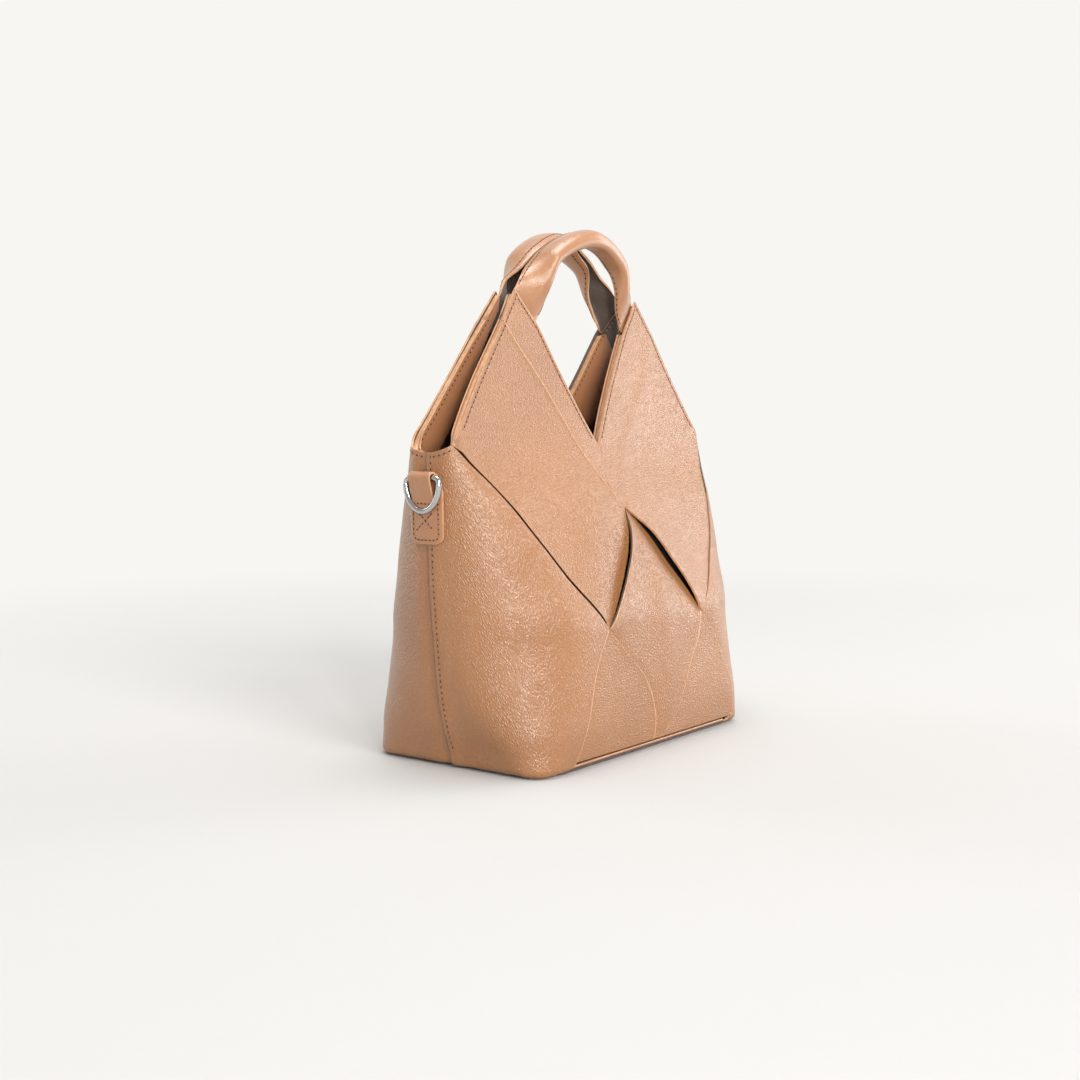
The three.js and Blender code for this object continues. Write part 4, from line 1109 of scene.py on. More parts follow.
def lining_sack():
    """The cloth sack, hanging a little free of the skin, with a floor."""
    quarter = [place(r) for r in NOTCH_FACING + [LINING_PEAK] + OPENING_FACING] + [facing_foot]
    quarter = resample(quarter, 34) - (0, 0.3)
    ring = both_hands(both_faces(quarter))[:-1]
    v = np.linspace(0, 1, 34)[:, None]
    z = LINING_FOOT + (ring[None, :, 1] - LINING_FOOT) * v
    around = (ring[:, 0] / seam_at(ring[:, 1]))[None] * seam_at(z)
    slack = LINING_SLACK * (1 - smoothstep(v, 0.75, 1))
    folds = np.sin(around / 9 + 2 * np.sin(z / 37)) * (1 - smoothstep(v, 0.8, 1)) * smoothstep(v, 0, 0.15)
    points = bag_point(around, z, LINING_DEPTH + slack + CLOTH_FOLD * folds)
    points[..., 2] = np.maximum(points[..., 2], LINING_FOOT)
    centre = np.array([0, 0, LINING_FOOT + 0.2])
    inward = np.linspace(FLOOR_HOLE, 1, 9)[:-1, None, None]
    points = np.vstack([centre + (points[0][None] - centre) * inward, points])
    points = np.concatenate([points, points[:, :1]], axis=1)
    columns = np.broadcast_to(np.arange(points.shape[1]) * 3.0, points.shape[:2])
    obj = shape_grid("lining_sack", points, np.stack([columns, points[..., 2]], axis=-1))
    edit(obj)
    bpy.ops.mesh.remove_doubles(threshold=0.0001)
    bpy.ops.mesh.select_all(action="DESELECT")
    bpy.ops.object.mode_set(mode="OBJECT")
    rims = open_edges(obj)
    for edge in obj.data.edges:
        ends = [obj.data.vertices[i].co for i in edge.vertices]
        on_floor = max(e.z for e in ends) < (LINING_FOOT + 0.8) * MM
        edge.select = on_floor and max(e.xy.length for e in ends) < 30 * MM and edge.key in rims
    bpy.ops.object.mode_set(mode="EDIT")
    bpy.ops.mesh.edge_face_add()
    bpy.ops.object.mode_set(mode="OBJECT")
    skin(obj, LINING_WALL, [LINING], edge_round=0)
    return finish(obj, "lining_cloth", "lining")


lining_sack()

# Under the side panels the base stands back; in front and behind it shows as a lip
BASE_SET_BACK = 7.0
BASE_STEP = (90, 98)
BASE_SHARE = 0.994


def base_plate(name, low, high, inset, material, edge_round):
    """A flat plate in the outline of the bag's foot, set in all round by inset."""
    _, _, _, _, straight, arc_end, seam = [float(v) for v in level_cut(np.array(0.0))]
    corner = np.linspace(straight, arc_end, 9)[1:]
    quarter = np.r_[np.linspace(0, 88, 10), np.linspace(90, 99, 7), corner, seam]
    quarter = np.stack([quarter, np.zeros(len(quarter))], axis=1)
    ring = both_hands(both_faces(quarter))[:-1]
    outline = face_point(ring[:, 0], ring[:, 1])
    set_in = np.maximum(inset, BASE_SET_BACK * smoothstep(np.abs(outline[:, 0]), *BASE_STEP))
    outline = outline - face_normal(ring[:, 0], ring[:, 1] + 1.0) * set_in[:, None]
    deselect()
    bpy.ops.mesh.primitive_circle_add(vertices=len(outline), radius=1, fill_type="NGON")
    obj = bpy.context.object
    obj.name = obj.data.name = name
    order = np.argsort(np.arctan2([v.co.y for v in obj.data.vertices], [v.co.x for v in obj.data.vertices]))
    angles = np.argsort(np.arctan2(outline[:, 1], outline[:, 0]))
    co = np.zeros((len(outline), 3))
    co[order] = outline[angles] * MM
    co[:, :2] *= BASE_SHARE
    co[:, 2] = low * MM
    obj.data.vertices.foreach_set("co", co.ravel())
    edit(obj)
    bpy.ops.mesh.extrude_region_move(TRANSFORM_OT_translate={"value": (0, 0, (high - low) * MM)})
    faces_outwards()
    obj.data.materials.append(material)
    round_edges(obj, edge_round, 3, 60)
    apply_modifiers(obj)
    bpy.ops.object.shade_smooth_by_angle(angle=math.radians(35))
    return obj


finish(base_plate("base_leather", 2.9, 4.7, 0.0, STRAP_LEATHER, 0.7), "leather", "base_panel")
# The dark suede plinth set in under the lip is painted shade: it stands for the floor's contact shadow below
# the hem.
finish(base_plate("base_shade_plinth", 0.0, 3.0, 2.6, FLESH, 0.5), "leather")

# ---------------------------------------------------------------- handles
ROOT_POINT = face_point(notch_root[0], notch_root[1])
HANDLE_RISE = HANDLE_TOP - ROOT_POINT[2]
FOLD_DEPTH = 26.0
STRAP = 13.0
STRAP_WALL = 1.8
FLANGE = 2 * STRAP_WALL + 0.3
PEAK_SWELL = 2.6
TUCKED_DEPTH = 2.7
FOLD_POINTS = 13
STRAP_STEP = 2.2
# How far the open edges come forward on the right and left legs of each handle
PINCH = {"front": (4.5, -0.9), "back": (-2.0, 4.5)}

# outer edge, inner edge, fold: across, rise and depth as shares, from the peak to the top of the arch
HANDLE_SECTIONS = [
    ((0.438, 0.399, 0.2), (0.3123, 0.1026, 0.385), (0.3805, 0.2147, 0.596)),
    ((0.402, 0.455, 0.16), (0.2872, 0.2147, 0.35), (0.3518, 0.2949, 0.635)),
    ((0.359, 0.527, 0.135), (0.2728, 0.343, 0.31), (0.3266, 0.391, 0.69)),
    ((0.3159, 0.599, 0.115), (0.2642, 0.479, 0.25), (0.3051, 0.495, 0.75)),
    ((0.2764, 0.663, 0.1), (0.254, 0.585, 0.16), (0.2872, 0.591, 0.79)),
    ((0.2441, 0.716, 0.085), None, (0.262, 0.6715, 0.815)),
    ((0.1938, 0.8, 0.08), None, (0.201, 0.76, 0.865)),
    ((0.1292, 0.8846, 0.077), None, (0.1328, 0.8285, 0.923)),
    ((0.0646, 0.936, 0.077), None, (0.0646, 0.8718, 0.973)),
    ((0, 0.952, 0.077), None, (0, 0.8878, 1)),
]


def handle_point(shares):
    across, rise, depth = shares
    return np.array([across * SHOULDER_HALF_WIDTH, -depth * FOLD_DEPTH, ROOT_POINT[2] + rise * HANDLE_RISE])


def bezier(p0, p1, p2, p3, count):
    t = np.linspace(0, 1, count)[:, None]
    return (1 - t) ** 3 * p0 + 3 * (1 - t) ** 2 * t * p1 + 3 * (1 - t) * t**2 * p2 + t**3 * p3


def smooth_rows(rows, count):
    """Rows of numbers joined by a smooth curve, evenly spaced along their first three."""
    pieces = []
    padded = np.vstack([2 * rows[0] - rows[1], rows, 2 * rows[-1] - rows[-2]])
    for i in range(1, len(padded) - 2):
        p0, p1, p2, p3 = padded[i - 1 : i + 3]
        t = np.linspace(0, 1, 12, endpoint=False)[:, None]
        square = (2 * p0 - 5 * p1 + 4 * p2 - p3) * t**2
        cube = (3 * p1 - p0 - 3 * p2 + p3) * t**3
        pieces.append(0.5 * (2 * p1 + (p2 - p0) * t + square + cube))
    dense = np.vstack(pieces + [rows[-1:]])
    lengths = np.r_[0, np.cumsum(np.linalg.norm(np.diff(dense[:, :3], axis=0), axis=1))]
    wanted = np.linspace(0, lengths[-1], count)
    return np.stack([np.interp(wanted, lengths, dense[:, k]) for k in range(dense.shape[1])], axis=1)


def folded_strap():
    """Rows of points across the strip, from the right peak over the top to the left peak."""
    count = len(HANDLE_SECTIONS)
    outer = np.array([handle_point(s[0]) for s in HANDLE_SECTIONS])
    fold = np.array([handle_point(s[2]) for s in HANDLE_SECTIONS])
    outward = []
    for k in range(count - 1):
        path = outer[k + 1] - outer[max(k - 1, 0)]
        path[1] = 0
        path /= np.linalg.norm(path)
        outward.append(np.array([path[2], 0, -path[0]]))
    outward = np.array(outward + [np.array([0, 0, 1.0])])
    inner = np.array([
        handle_point(s[1]) if s[1] else outer[k] - outward[k] * FLANGE for k, s in enumerate(HANDLE_SECTIONS)
    ])
    half = np.hstack([outer, fold, inner, outward, np.linspace(0, 1, count)[:, None]])
    flip = np.array([-1, 1, 1] * 4 + [1])
    rows = []
    for row in smooth_rows(np.vstack([half, half[-2::-1] * flip]), 104):
        edge, crest, inside, out, along = row[0:3], row[3:6], row[6:9], row[9:12], row[12]
        out = out / np.linalg.norm(out)
        edge = edge + out * PEAK_SWELL * (1 - smoothstep(along, 0.5, 0.85))
        bulge = out * (0.3 + 0.35 * along) * STRAP
        lip = np.array([0, -(0.2 + 0.12 * along) * FOLD_DEPTH, 0])
        swell = out * 0.4 * along * STRAP
        lower = bezier(inside, inside + lip - swell, crest - bulge, crest, FOLD_POINTS)
        upper = bezier(crest, crest + bulge, edge + lip + swell, edge, FOLD_POINTS)
        rows.append(np.vstack([lower, upper[1:]]))
    return np.array(rows)


def pinched(rows, right, left):
    """Moves the open edges of the folded strap forwards, by right and left on its two legs."""
    half = np.linspace(0, 2, len(rows))
    along = 1 - np.abs(1 - half)
    on_leg = smoothstep(along, 0.0, 0.25) * (1 - smoothstep(along, 0.6, 0.98))
    amount = np.where(half < 1, right, left) * on_leg
    fold = rows[..., 1].min(axis=1, keepdims=True)
    edge = rows[..., 1].max(axis=1, keepdims=True)
    rows[..., 1] -= amount[:, None] * (rows[..., 1] - fold) / (edge - fold)
    return rows


def tucked_end(columns):
    """Rows across the strap's end, which lies flat behind the right peak."""
    chord = place(PEAK) - notch_root
    above = np.array([-chord[1], chord[0]]) / np.linalg.norm(chord)
    rows = []
    for low, high, drop, lean in ((0.2, 0.75, 12, 3), (0.12, 0.86, 6, 1.5), (0.05, 0.95, -0.3, 0)):
        ends = np.array([notch_root + chord * low, notch_root + chord * high]) - above * drop - (lean, 0)
        flat = resample(ends, columns)
        rows.append(bag_point(flat[:, 0], flat[:, 1], TUCKED_DEPTH))
    return np.array(rows)


def strap_handle(side):
    """A handle from its tucked right end over the arch to its tucked left end, eased where they join."""
    middle = pinched(folded_strap(), *PINCH[side])
    start = tucked_end(middle.shape[1])
    end = start[::-1] * (-1, 1, 1)
    skin_y = start[-1][:, 1].mean()
    for k in range(12):
        keep = 0.5 + 0.5 * smoothstep(k, 0, 12)
        for row in (middle[k], middle[-1 - k]):
            row[:, 1] = skin_y + (row[:, 1] - skin_y) * keep
    lead = np.array([start[-1] * (1 - s) + middle[0] * s for s in (0.35, 0.7)])
    trail = np.array([middle[-1] * (1 - s) + end[0] * s for s in (0.3, 0.65)])
    points = np.vstack([start, lead, middle, trail, end])
    loose = np.zeros(len(points))
    loose[3:24] = np.linspace(1, 0.05, 21)
    loose[-24:-3] = np.linspace(0.05, 1, 21)
    for _ in range(14):
        eased = points.copy()
        eased[1:-1] = 0.5 * points[1:-1] + 0.25 * (points[2:] + points[:-2])
        points += (eased - points) * loose[:, None, None]
    ny, nx = points.shape[:2]
    uv = np.stack(np.meshgrid(np.arange(nx) * STRAP_STEP, np.arange(ny) * STRAP_STEP), axis=-1)
    if side == "back":
        points = points * (-1, -1, 1)
    obj = shape_grid(f"{side}_handle_leather", points, uv, math.radians(90))
    skin(obj, STRAP_WALL, [STRAP_LEATHER, EDGE, FLESH], edge_round=0.45)
    finish(obj, "leather", f"{side}_handle")
    return points


handle_points = {side: strap_handle(side) for side in PINCH}

# ---------------------------------------------------------------- ring tabs and rings
TAB_WIDTH = 23.5
TAB_BOTTOM = 137.0
TAB_SHOULDER = 168.0
TAB_TOP = 178.5
TAB_CORNER = 5
TAB_STAND = 3.0
TAB_WALL = 2.2
LOOP_WIDTH = 16.0
LOOP_INSIDE = 2.3
LOOP_WALL = 1.5
LOOP_FACE = SHOULDER_HALF_WIDTH + 3.2
BAR_HEIGHT = 176.0
BAR_X = 144.3
RING_WIRE = 1.8
RING_HALF_WIDTH = 14.5
RING_CORNER = 3.2
RING_DROP = 16.2
PATCH_DEPTH = 4.9
PATCH_WALL = 0.9


def tab_piece():
    """The stitched tab below the ring, bent to the side of the bag, with round lower corners."""
    rows = []
    round_part, straight_part = np.linspace(0, 5, 7), np.linspace(8, TAB_SHOULDER - TAB_BOTTOM, 7)
    for z in np.r_[round_part, straight_part, 35, 39, TAB_TOP - TAB_BOTTOM]:
        height = TAB_BOTTOM + z
        half = TAB_WIDTH / 2
        if z < TAB_CORNER:
            half += math.sqrt(max(TAB_CORNER**2 - (TAB_CORNER - z) ** 2, 0)) - TAB_CORNER
        elif height > TAB_SHOULDER:
            half += (LOOP_WIDTH - TAB_WIDTH) / 2 * (height - TAB_SHOULDER) / (TAB_TOP - TAB_SHOULDER)
        y = np.linspace(-half, half, 15)
        face = bag_point(seam_at(height) + y, np.full(len(y), height), -TAB_STAND)
        rows.append(np.stack([face[:, 0], face[:, 1], np.full(len(y), height)], axis=1))
    points = np.array(rows)
    obj = shape_grid("right_ring_tab_leather", points, points[..., 1:], math.radians(90))
    return skin(obj, TAB_WALL, [STRAP_LEATHER, EDGE, STRAP_LEATHER], edge_round=0.5)


def tab_loop():
    """The strap that folds over the ring's bar and is stitched down on the tab."""
    r = LOOP_INSIDE + LOOP_WALL
    arc = [
        (BAR_X + r * math.cos(a), BAR_HEIGHT + r * math.sin(a)) for a in np.radians(np.linspace(-20, 178, 18))
    ]
    front = [
        (LOOP_FACE + 1.6, 158.0), (LOOP_FACE + 1.9, 163.0), (LOOP_FACE + 3.6, 168.5),
        (BAR_X + 3.35, 173.6), arc[0],
    ]
    back = [arc[-1], (BAR_X - r, 172.0), (LOOP_FACE - 2.4, 166.0)]
    profile = np.vstack([smooth_line(front, 14)[:-1], arc, smooth_line(back, 6)[1:]])
    y = np.linspace(-LOOP_WIDTH / 2, LOOP_WIDTH / 2, 9)
    grid = (len(profile), len(y))
    x, y, z = (np.broadcast_to(a, grid) for a in (profile[:, 0:1], y, profile[:, 1:2]))
    points = np.stack([x, y, z], axis=-1)
    obj = shape_grid("right_ring_loop", points, points[..., 1:], math.radians(90))
    return skin(obj, LOOP_WALL, [STRAP_LEATHER, EDGE, STRAP_LEATHER], edge_round=0.4)


def peak_patch(hand):
    """The dark patch behind a peak, where the handle's end is sewn in."""
    root, step, peak = (
        np.array([r[0] * SHOULDER_HALF_WIDTH, height_of(r)]) for r in (HANDLE_ROOT, EDGE_STEP, PEAK)
    )
    inner = peak + (root - peak) * 0.97
    outer = peak + (step - peak) * 0.9
    low = (root + step) / 2 - (0, 16)
    corners = np.array([low, outer, peak - (0, 1.2), inner]) * (hand, 1)
    if hand < 0:
        corners = corners[[0, 3, 2, 1]]
    sides = [resample(corners[[a, b]], 12) for a, b in ((0, 1), (1, 2), (3, 2), (0, 3))]
    places = fill(*(np.stack([around_at(c[:, 0], c[:, 1]), c[:, 1]], axis=1) for c in sides), (14, 14))
    name = "right" if hand > 0 else "left"
    points = bag_point(places[..., 0], places[..., 1], PATCH_DEPTH)
    patch = shape_grid(f"front_{name}_peak_patch", points, places)
    skin(patch, PATCH_WALL, [FLESH, BROWN_EDGE], edge_round=0.25)
    finish(turned_copy(patch, f"back_{OTHER[name]}_peak_patch"), "facing_leather")
    finish(patch, "facing_leather")


for hand in HAND.values():
    peak_patch(hand)
tab, loop = tab_piece(), tab_loop()
both_sides(tab, "ring_tab_leather", "leather")
both_sides(loop, "ring_loop", "leather", replaces=False)


def ring_path():
    """The middle of the wire: a straight bar in the loop, two tight corners and a half oval below."""
    w = RING_HALF_WIDTH - RING_WIRE
    bar = [(y, 0) for y in np.linspace(-w + RING_CORNER, w - RING_CORNER, 6)]
    right, left = (
        [(w - RING_CORNER * (1 - math.cos(a)), -RING_CORNER * (1 - math.sin(a))) for a in np.radians(turns)]
        for turns in ([60, 30], [30, 60])
    )
    oval = [
        (w * math.cos(a), -RING_CORNER - RING_DROP * math.sin(a)) for a in np.linspace(0, math.pi, 25)
    ]
    points = bar + right + oval + [(-y, z) for y, z in left]
    points = [(BAR_X, y, BAR_HEIGHT + z) for y, z in points + points[:1]]
    return smooth_line(points, 97)[:-1]


def ring():
    """A polished D of round wire."""
    path = ring_path()
    deselect()
    bpy.ops.mesh.primitive_torus_add(
        major_segments=len(path), minor_segments=20, major_radius=1, minor_radius=RING_WIRE * MM
    )
    obj = bpy.context.object
    obj.name = obj.data.name = "right_ring_wire"
    co = vertex_places(obj)
    angle = np.arctan2(co[:, 1], co[:, 0]) % (2 * math.pi)
    step = np.rint(angle / (2 * math.pi) * len(path)).astype(int) % len(path)
    radial = np.hypot(co[:, 0], co[:, 1]) - 1
    tangent = np.roll(path, -1, axis=0) - np.roll(path, 1, axis=0)
    tangent /= np.linalg.norm(tangent, axis=1, keepdims=True)
    side = np.array([1.0, 0, 0])
    normal = np.cross(tangent, side)
    new = path[step] * MM + normal[step] * radial[:, None] + side * co[:, 2:3]
    obj.data.vertices.foreach_set("co", new.ravel())
    edit(obj)
    faces_outwards()
    bpy.ops.object.shade_smooth()
    obj.data.materials.append(STEEL)
    return obj


right_ring = ring()
left_ring = turned_copy(right_ring, "left_ring_wire")
finish(right_ring, "polished_metal", "right_d_ring", body="right_ring")
finish(left_ring, "polished_metal", "left_d_ring", body="left_ring")

# ---------------------------------------------------------------- stitches
STITCH_PITCH = 3.6
TAB_PITCH = 2.9
THREAD_SIZE = (2.1, 0.8, 0.6)
HOLE_SHADE_SIZE = (1.45, 1.1, 0.45)
THREAD_LIFT = 0.12
HOLE_SHADE_LIFT = 0.04
RAY_REACH = 14.0
OPENING_INSET = 2.6
RIM_INSET = 2.8
NOTCH_INSET = 2.3
NOTCH_INNER_INSET = 2.6
SEAM_INSET = 3.0
TAB_INSET = 2.6


def bead(name, size, material):
    """One thread bead, lying along X and standing along Z."""
    deselect()
    bpy.ops.mesh.primitive_uv_sphere_add(segments=8, ring_count=6, radius=0.5)
    obj = bpy.context.object
    obj.name = name
    edit(obj)
    bpy.ops.transform.resize(value=[s * MM for s in size])
    bpy.ops.object.mode_set(mode="OBJECT")
    bpy.ops.object.shade_smooth()
    obj.data.materials.append(material)
    return obj


def bead_row(name, model, frames):
    """One mesh of copies of a bead, each at a frame of centre, along and out."""
    base = np.array([v.co for v in model.data.vertices])
    row = model.copy()
    row.data = model.data.copy()
    bpy.context.scene.collection.objects.link(row)
    array = row.modifiers.new("row", "ARRAY")
    array.count = len(frames)
    array.use_relative_offset = False
    array.use_constant_offset = True
    array.constant_offset_displace = (0.01, 0, 0)
    apply_modifiers(row)
    co = np.array([
        centre * MM + base @ np.array([along, np.cross(out, along), out]) for centre, along, out in frames
    ])
    row.data.vertices.foreach_set("co", co.ravel())
    row.name = row.data.name = name
    return row


THREAD_BEAD = bead("thread_bead", THREAD_SIZE, THREAD)
HOLE_SHADE_BEAD = bead("hole_shade_bead", HOLE_SHADE_SIZE, NEEDLE_HOLE_SHADE)


def row_frames(points, normals, pitch, lift, offset=0.0):
    """Evenly spaced frames along points, with out from the normals."""
    lengths = np.r_[0, np.cumsum(np.linalg.norm(np.diff(points, axis=0), axis=1))]
    count = max(1, int((lengths[-1] - offset) / pitch))
    wanted = offset + pitch * (np.arange(count) + 0.5)

    def sample(rows, at):
        return np.stack([np.interp(at, lengths, rows[:, k]) for k in range(3)], axis=1)

    centre = sample(points, wanted)
    along = sample(points, wanted + 0.4) - sample(points, wanted - 0.4)
    along /= np.linalg.norm(along, axis=1, keepdims=True) + 1e-12
    out = sample(normals, wanted)
    out -= (out * along).sum(1, keepdims=True) * along
    out /= np.linalg.norm(out, axis=1, keepdims=True)
    return [(centre[k] + out[k] * lift, along[k], out[k]) for k in range(count)]


def stitch_row(name, points, normals, slot="leather", copy_name=None, pitch=STITCH_PITCH):
    """Threads along a line of points, with near-black beads of painted shade where the needle pierced, and a
    copy on the other side if named.
    """
    threads = bead_row(f"{name}_thread", THREAD_BEAD, row_frames(points, normals, pitch, THREAD_LIFT))
    holes = bead_row(f"{name}_holes", HOLE_SHADE_BEAD, row_frames(points, normals, pitch, HOLE_SHADE_LIFT, -pitch / 2))
    for obj, ending in ((threads, "thread"), (holes, "holes")):
        if copy_name:
            finish(turned_copy(obj, f"{copy_name}_{ending}"), slot)
        finish(obj, slot)


def on_surface(points, directions, names):
    """Where lines along directions, coming in from outside, first meet the named pieces."""
    targets = [bpy.data.objects[n] for n in names]
    hits = []
    for p, d in zip(points, directions):
        start = Vector((p + d * RAY_REACH) * MM)
        rays = [obj.ray_cast(start, Vector(-d), distance=2 * RAY_REACH * MM) for obj in targets]
        found = [location for met, location, _, _ in rays if met]
        if found:
            hits.append(np.array(min(found, key=lambda at: (at - start).length)) / MM)
    return np.array(hits)


def skin_stitches(name, copy_name, line, names):
    """A row on the skin along a line of the face, standing out as the bag's own face does there."""
    base = bag_point(line[:, 0], line[:, 1])
    out = face_normal(line[:, 0], line[:, 1])
    points = on_surface(base, out, names)
    nearest = np.linalg.norm(points[:, None] - base[None], axis=-1).argmin(1)
    stitch_row(name, points, out[nearest], copy_name=copy_name)


def inner_stitches(name, copy_name, line):
    """A row on the facing, inside the bag."""
    points = bag_point(line[:, 0], line[:, 1], FACING_DEPTH + FACING_WALL + 0.05)
    stitch_row(name, points, -face_normal(line[:, 0], line[:, 1]), "facing_leather", copy_name)


def tab_stitches(name, path, face_x=None):
    """A stitch row on the right tab through (across, height) points, with its copy on the left tab."""
    path = resample(path, 60)
    z = path[:, 1]
    around = seam_at(z) + path[:, 0]
    points, normals = bag_point(around, z, -TAB_STAND), face_normal(around, z)
    if face_x is not None:
        points = np.stack([np.full(60, face_x), path[:, 0], z], axis=1)
        normals = np.tile([1.0, 0, 0], (60, 1))
    stitch_row(f"right_tab_{name}", points, normals, copy_name=f"left_tab_{name}", pitch=TAB_PITCH)


bpy.context.view_layer.update()
SKINS = {
    "left": [f"front_left_{piece}_leather" for piece in ("side_panel", "shoulder_panel", "peak_strip")],
    "right": [f"front_right_{piece}_leather" for piece in ("side_panel", "shoulder_panel")],
}
for side, hand in HAND.items():
    line = lines[side]
    front, back, skins = f"front_{side}", f"back_{OTHER[side]}", SKINS[side]
    rim = smooth_line(joined(line["peak_edge"], line["opening_edge"])[::6], 120)
    edge = shifted(rim, -hand * OPENING_INSET)[2:-2]
    skin_stitches(f"{front}_opening_stitches", f"{back}_opening_stitches", edge, skins)
    top = resample([line["opening_edge"][-1], (hand * seam_at(RIM_SAG), RIM_SAG)], 40)
    top[:, 1] = rim_height(np.linspace(0, 1, 40)) - RIM_INSET
    skin_stitches(f"{front}_top_stitches", f"{back}_top_stitches", top[3:-2], skins)
    notch = shifted(smooth_line(line["notch_edge"][::4], 160), hand * NOTCH_INSET)[8:-5]
    skin_stitches(f"{front}_notch_stitches", f"{back}_notch_stitches", notch, skins)
seam_z = np.linspace(188, 10, 120)
seam_row = np.stack([-(seam_at(seam_z) - SEAM_INSET), seam_z], axis=1)
skin_stitches("front_left_seam_stitches", "back_right_seam_stitches", seam_row, SKINS["left"][:1])

for side, points in handle_points.items():
    normals = np.cross(np.gradient(points, axis=1), np.gradient(points, axis=0))
    normals /= np.linalg.norm(normals, axis=2, keepdims=True) + 1e-12
    for name, column in (("outer", -3), ("inner", 2)):
        stitch_row(f"{side}_handle_{name}_stitches", points[4:-4, column], normals[4:-4, column])

inset = TAB_WIDTH / 2 - TAB_INSET
right_border = [(inset - 3, 139.6), (inset - 0.9, 140.3), (inset, 142.5), (inset, 166)]
tab_stitches("border", [(-y, z) for y, z in right_border[::-1]] + right_border)
tab_stitches("cross_up", [(-6.2, 145.5), (6.2, 156.5)])
tab_stitches("cross_down", [(-6.2, 156.5), (6.2, 145.5)])
tab_stitches("loop_end", [(-6.6, 161.0), (6.6, 161.0)], face_x=LOOP_FACE + 1.75)

for side, hand in HAND.items():
    notch = shifted(smooth_line(lines[side]["notch_edge"][::4], 160), hand * NOTCH_INNER_INSET)[14:-6]
    inner_stitches(f"front_{side}_notch_inner_stitches", f"back_{OTHER[side]}_notch_inner_stitches", notch)
opening = shifted(opening_rim, -OPENING_INSET)[6:-6]
inner_stitches("right_opening_inner_stitches", "left_opening_inner_stitches", opening)

for obj in (THREAD_BEAD, HOLE_SHADE_BEAD):
    bpy.data.objects.remove(obj)

# ---------------------------------------------------------------- stage, light and camera
CAMERA_AZIMUTH = math.radians(53.14)
CAMERA_PITCH = math.radians(4.84)
CAMERA_PLACE = Vector((-0.8130, -0.5867, 0.2149))
SENSOR = 36
LENS = 1529 / 1080 * SENSOR
FLOOR_SIZE = 9
FLOOR_COLOUR = (0.52, 0.516, 0.506)
GLOW = (0.930, 0.922, 0.888)
GLOW_START, GLOW_END = 0.45, 1.15
WALL_RADIUS, WALL_FOOT, WALL_HEIGHT, WALL_TURN = 2.6, -0.05, 3.0, 80
SKY = (0.5, 0.497, 0.49)
LIGHT_AIM = Vector((0, 0, 0.15))

# name, direction, distance, width and height, power, colour
SOFTBOXES = [
    ("right_softbox", (0.88, -0.42, 0.34), 1.5, (0.6, 1.1), 6.5, (1.0, 0.985, 0.985)),
    ("low_softbox", (0.84, -0.54, -0.02), 1.5, (1.1, 0.3), 4, (0.98, 0.985, 1.0)),
    ("front_strip_light", (-0.68, -0.72, 0.05), 1.5, (0.13, 1.2), 19, (0.99, 0.985, 1.0)),
    ("back_left_softbox", (-0.2, 1.0, 0.3), 1.5, (0.5, 1.0), 4, (1.0, 0.985, 0.97)),
    ("overhead_softbox", (0.0, 0.0, 1.0), 1.6, (0.9, 0.9), 19, (1.0, 0.99, 0.99)),
]
KEY_DIRECTION = (-0.26, -0.84, 0.48)
KEY_STRENGTH = 2.0
KEY_SPREAD = 24
KEY_COLOUR = (1.0, 0.985, 0.965)


def sweep_material(name):
    """Pale paper near the bag that turns into an evenly lit background further away."""
    material, nodes, links, shader = new_material(name)
    reach = nodes.new("ShaderNodeVectorMath")
    reach.operation = "LENGTH"
    links.new(coordinates(nodes, "Object"), reach.inputs[0])
    blend = nodes.new("ShaderNodeMapRange")
    blend.interpolation_type = "SMOOTHSTEP"
    set_sockets(blend, From_Min=GLOW_START, From_Max=GLOW_END)
    links.new(reach.outputs["Value"], blend.inputs["Value"])
    lit = nodes.new("ShaderNodeEmission")
    set_sockets(lit, Color=(*GLOW, 1), Strength=1.0)
    mix = nodes.new("ShaderNodeMixShader")
    for socket, output in zip(mix.inputs, (blend.outputs[0], shader.outputs[0], lit.outputs[0])):
        links.new(output, socket)
    links.new(mix.outputs[0], nodes["Material Output"].inputs["Surface"])
    set_sockets(shader, Base_Color=(*FLOOR_COLOUR, 1), Roughness=0.95, Specular_IOR_Level=0.1)
    return material


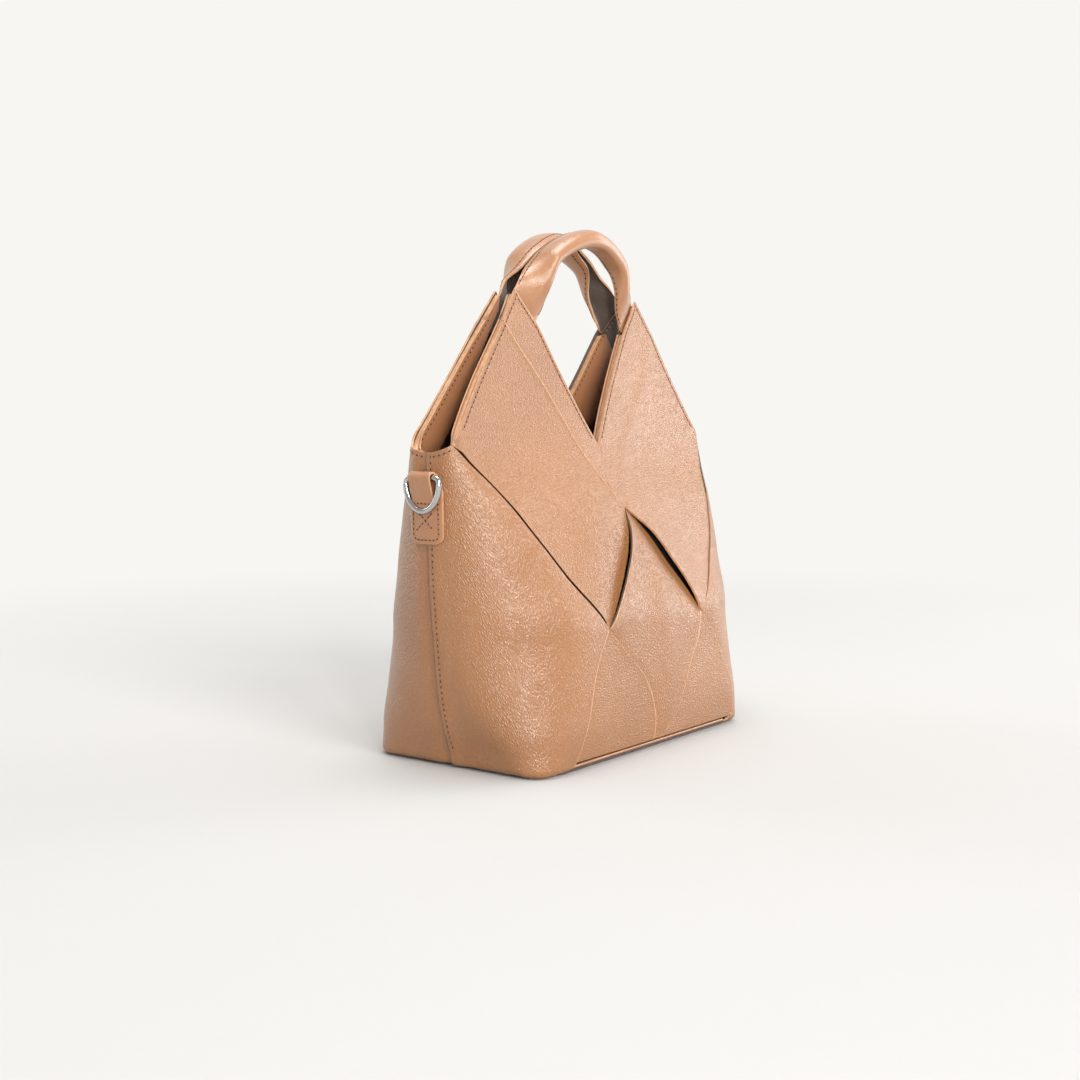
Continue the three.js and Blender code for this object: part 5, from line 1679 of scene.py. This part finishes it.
def backdrop():
    """A pale floor, and a curved wall far behind the bag in the same tone."""
    deselect()
    bpy.ops.mesh.primitive_plane_add(size=FLOOR_SIZE, location=(0, 0, 0))
    floor = bpy.context.object
    floor.name = floor.data.name = "floor"
    count, rows = 33, 9
    wall, row, column = add_grid("backdrop_wall", count, rows)
    turn = np.radians(np.linspace(-WALL_TURN, WALL_TURN, count))[column] + CAMERA_AZIMUTH
    height = WALL_FOOT + WALL_HEIGHT * row / (rows - 1)
    co = np.stack([np.sin(turn) * WALL_RADIUS, np.cos(turn) * WALL_RADIUS, height], axis=1)
    wall.data.vertices.foreach_set("co", co.ravel())
    wall.data.update()
    paper = sweep_material("pale_sweep")
    for obj in (floor, wall):
        obj.data.materials.append(paper)


def lamp(name, kind, direction, power, colour):
    """A lamp that shines from a direction onto the bag."""
    light = bpy.data.lights.new(name, kind)
    light.energy = power
    light.color = colour
    obj = bpy.data.objects.new(name, light)
    bpy.context.scene.collection.objects.link(obj)
    obj.rotation_euler = Vector(direction).to_track_quat("Z", "Y").to_euler()
    return obj


def softbox(name, direction, distance, size, power, colour):
    box = lamp(name, "AREA", direction, power, colour)
    box.data.shape = "RECTANGLE"
    box.data.size, box.data.size_y = size
    box.location = Vector(direction).normalized() * distance + LIGHT_AIM


backdrop()
world = bpy.data.worlds.new("studio")
world.use_nodes = True
set_sockets(world.node_tree.nodes["Background"], Color=(*SKY, 1), Strength=1.0)
bpy.context.scene.world = world
lamp("key", "SUN", KEY_DIRECTION, KEY_STRENGTH, KEY_COLOUR).data.angle = math.radians(KEY_SPREAD)
for row in SOFTBOXES:
    softbox(*row)

camera_data = bpy.data.cameras.new("camera")
camera_data.lens = LENS
camera_data.sensor_width = SENSOR
camera_data.clip_start = 0.01
camera = bpy.data.objects.new("camera", camera_data)
bpy.context.scene.collection.objects.link(camera)
ca, sa = math.cos(CAMERA_AZIMUTH), math.sin(CAMERA_AZIMUTH)
cp, sp = math.cos(CAMERA_PITCH), math.sin(CAMERA_PITCH)
right_axis = Vector((ca, -sa, 0))
forward = Vector((sa * cp, ca * cp, -sp))
rotation = Matrix((right_axis, right_axis.cross(forward), -forward)).transposed().to_4x4()
camera.matrix_world = Matrix.Translation(CAMERA_PLACE) @ rotation
bpy.context.scene.camera = camera
bpy.context.scene.view_settings.view_transform = "Standard"
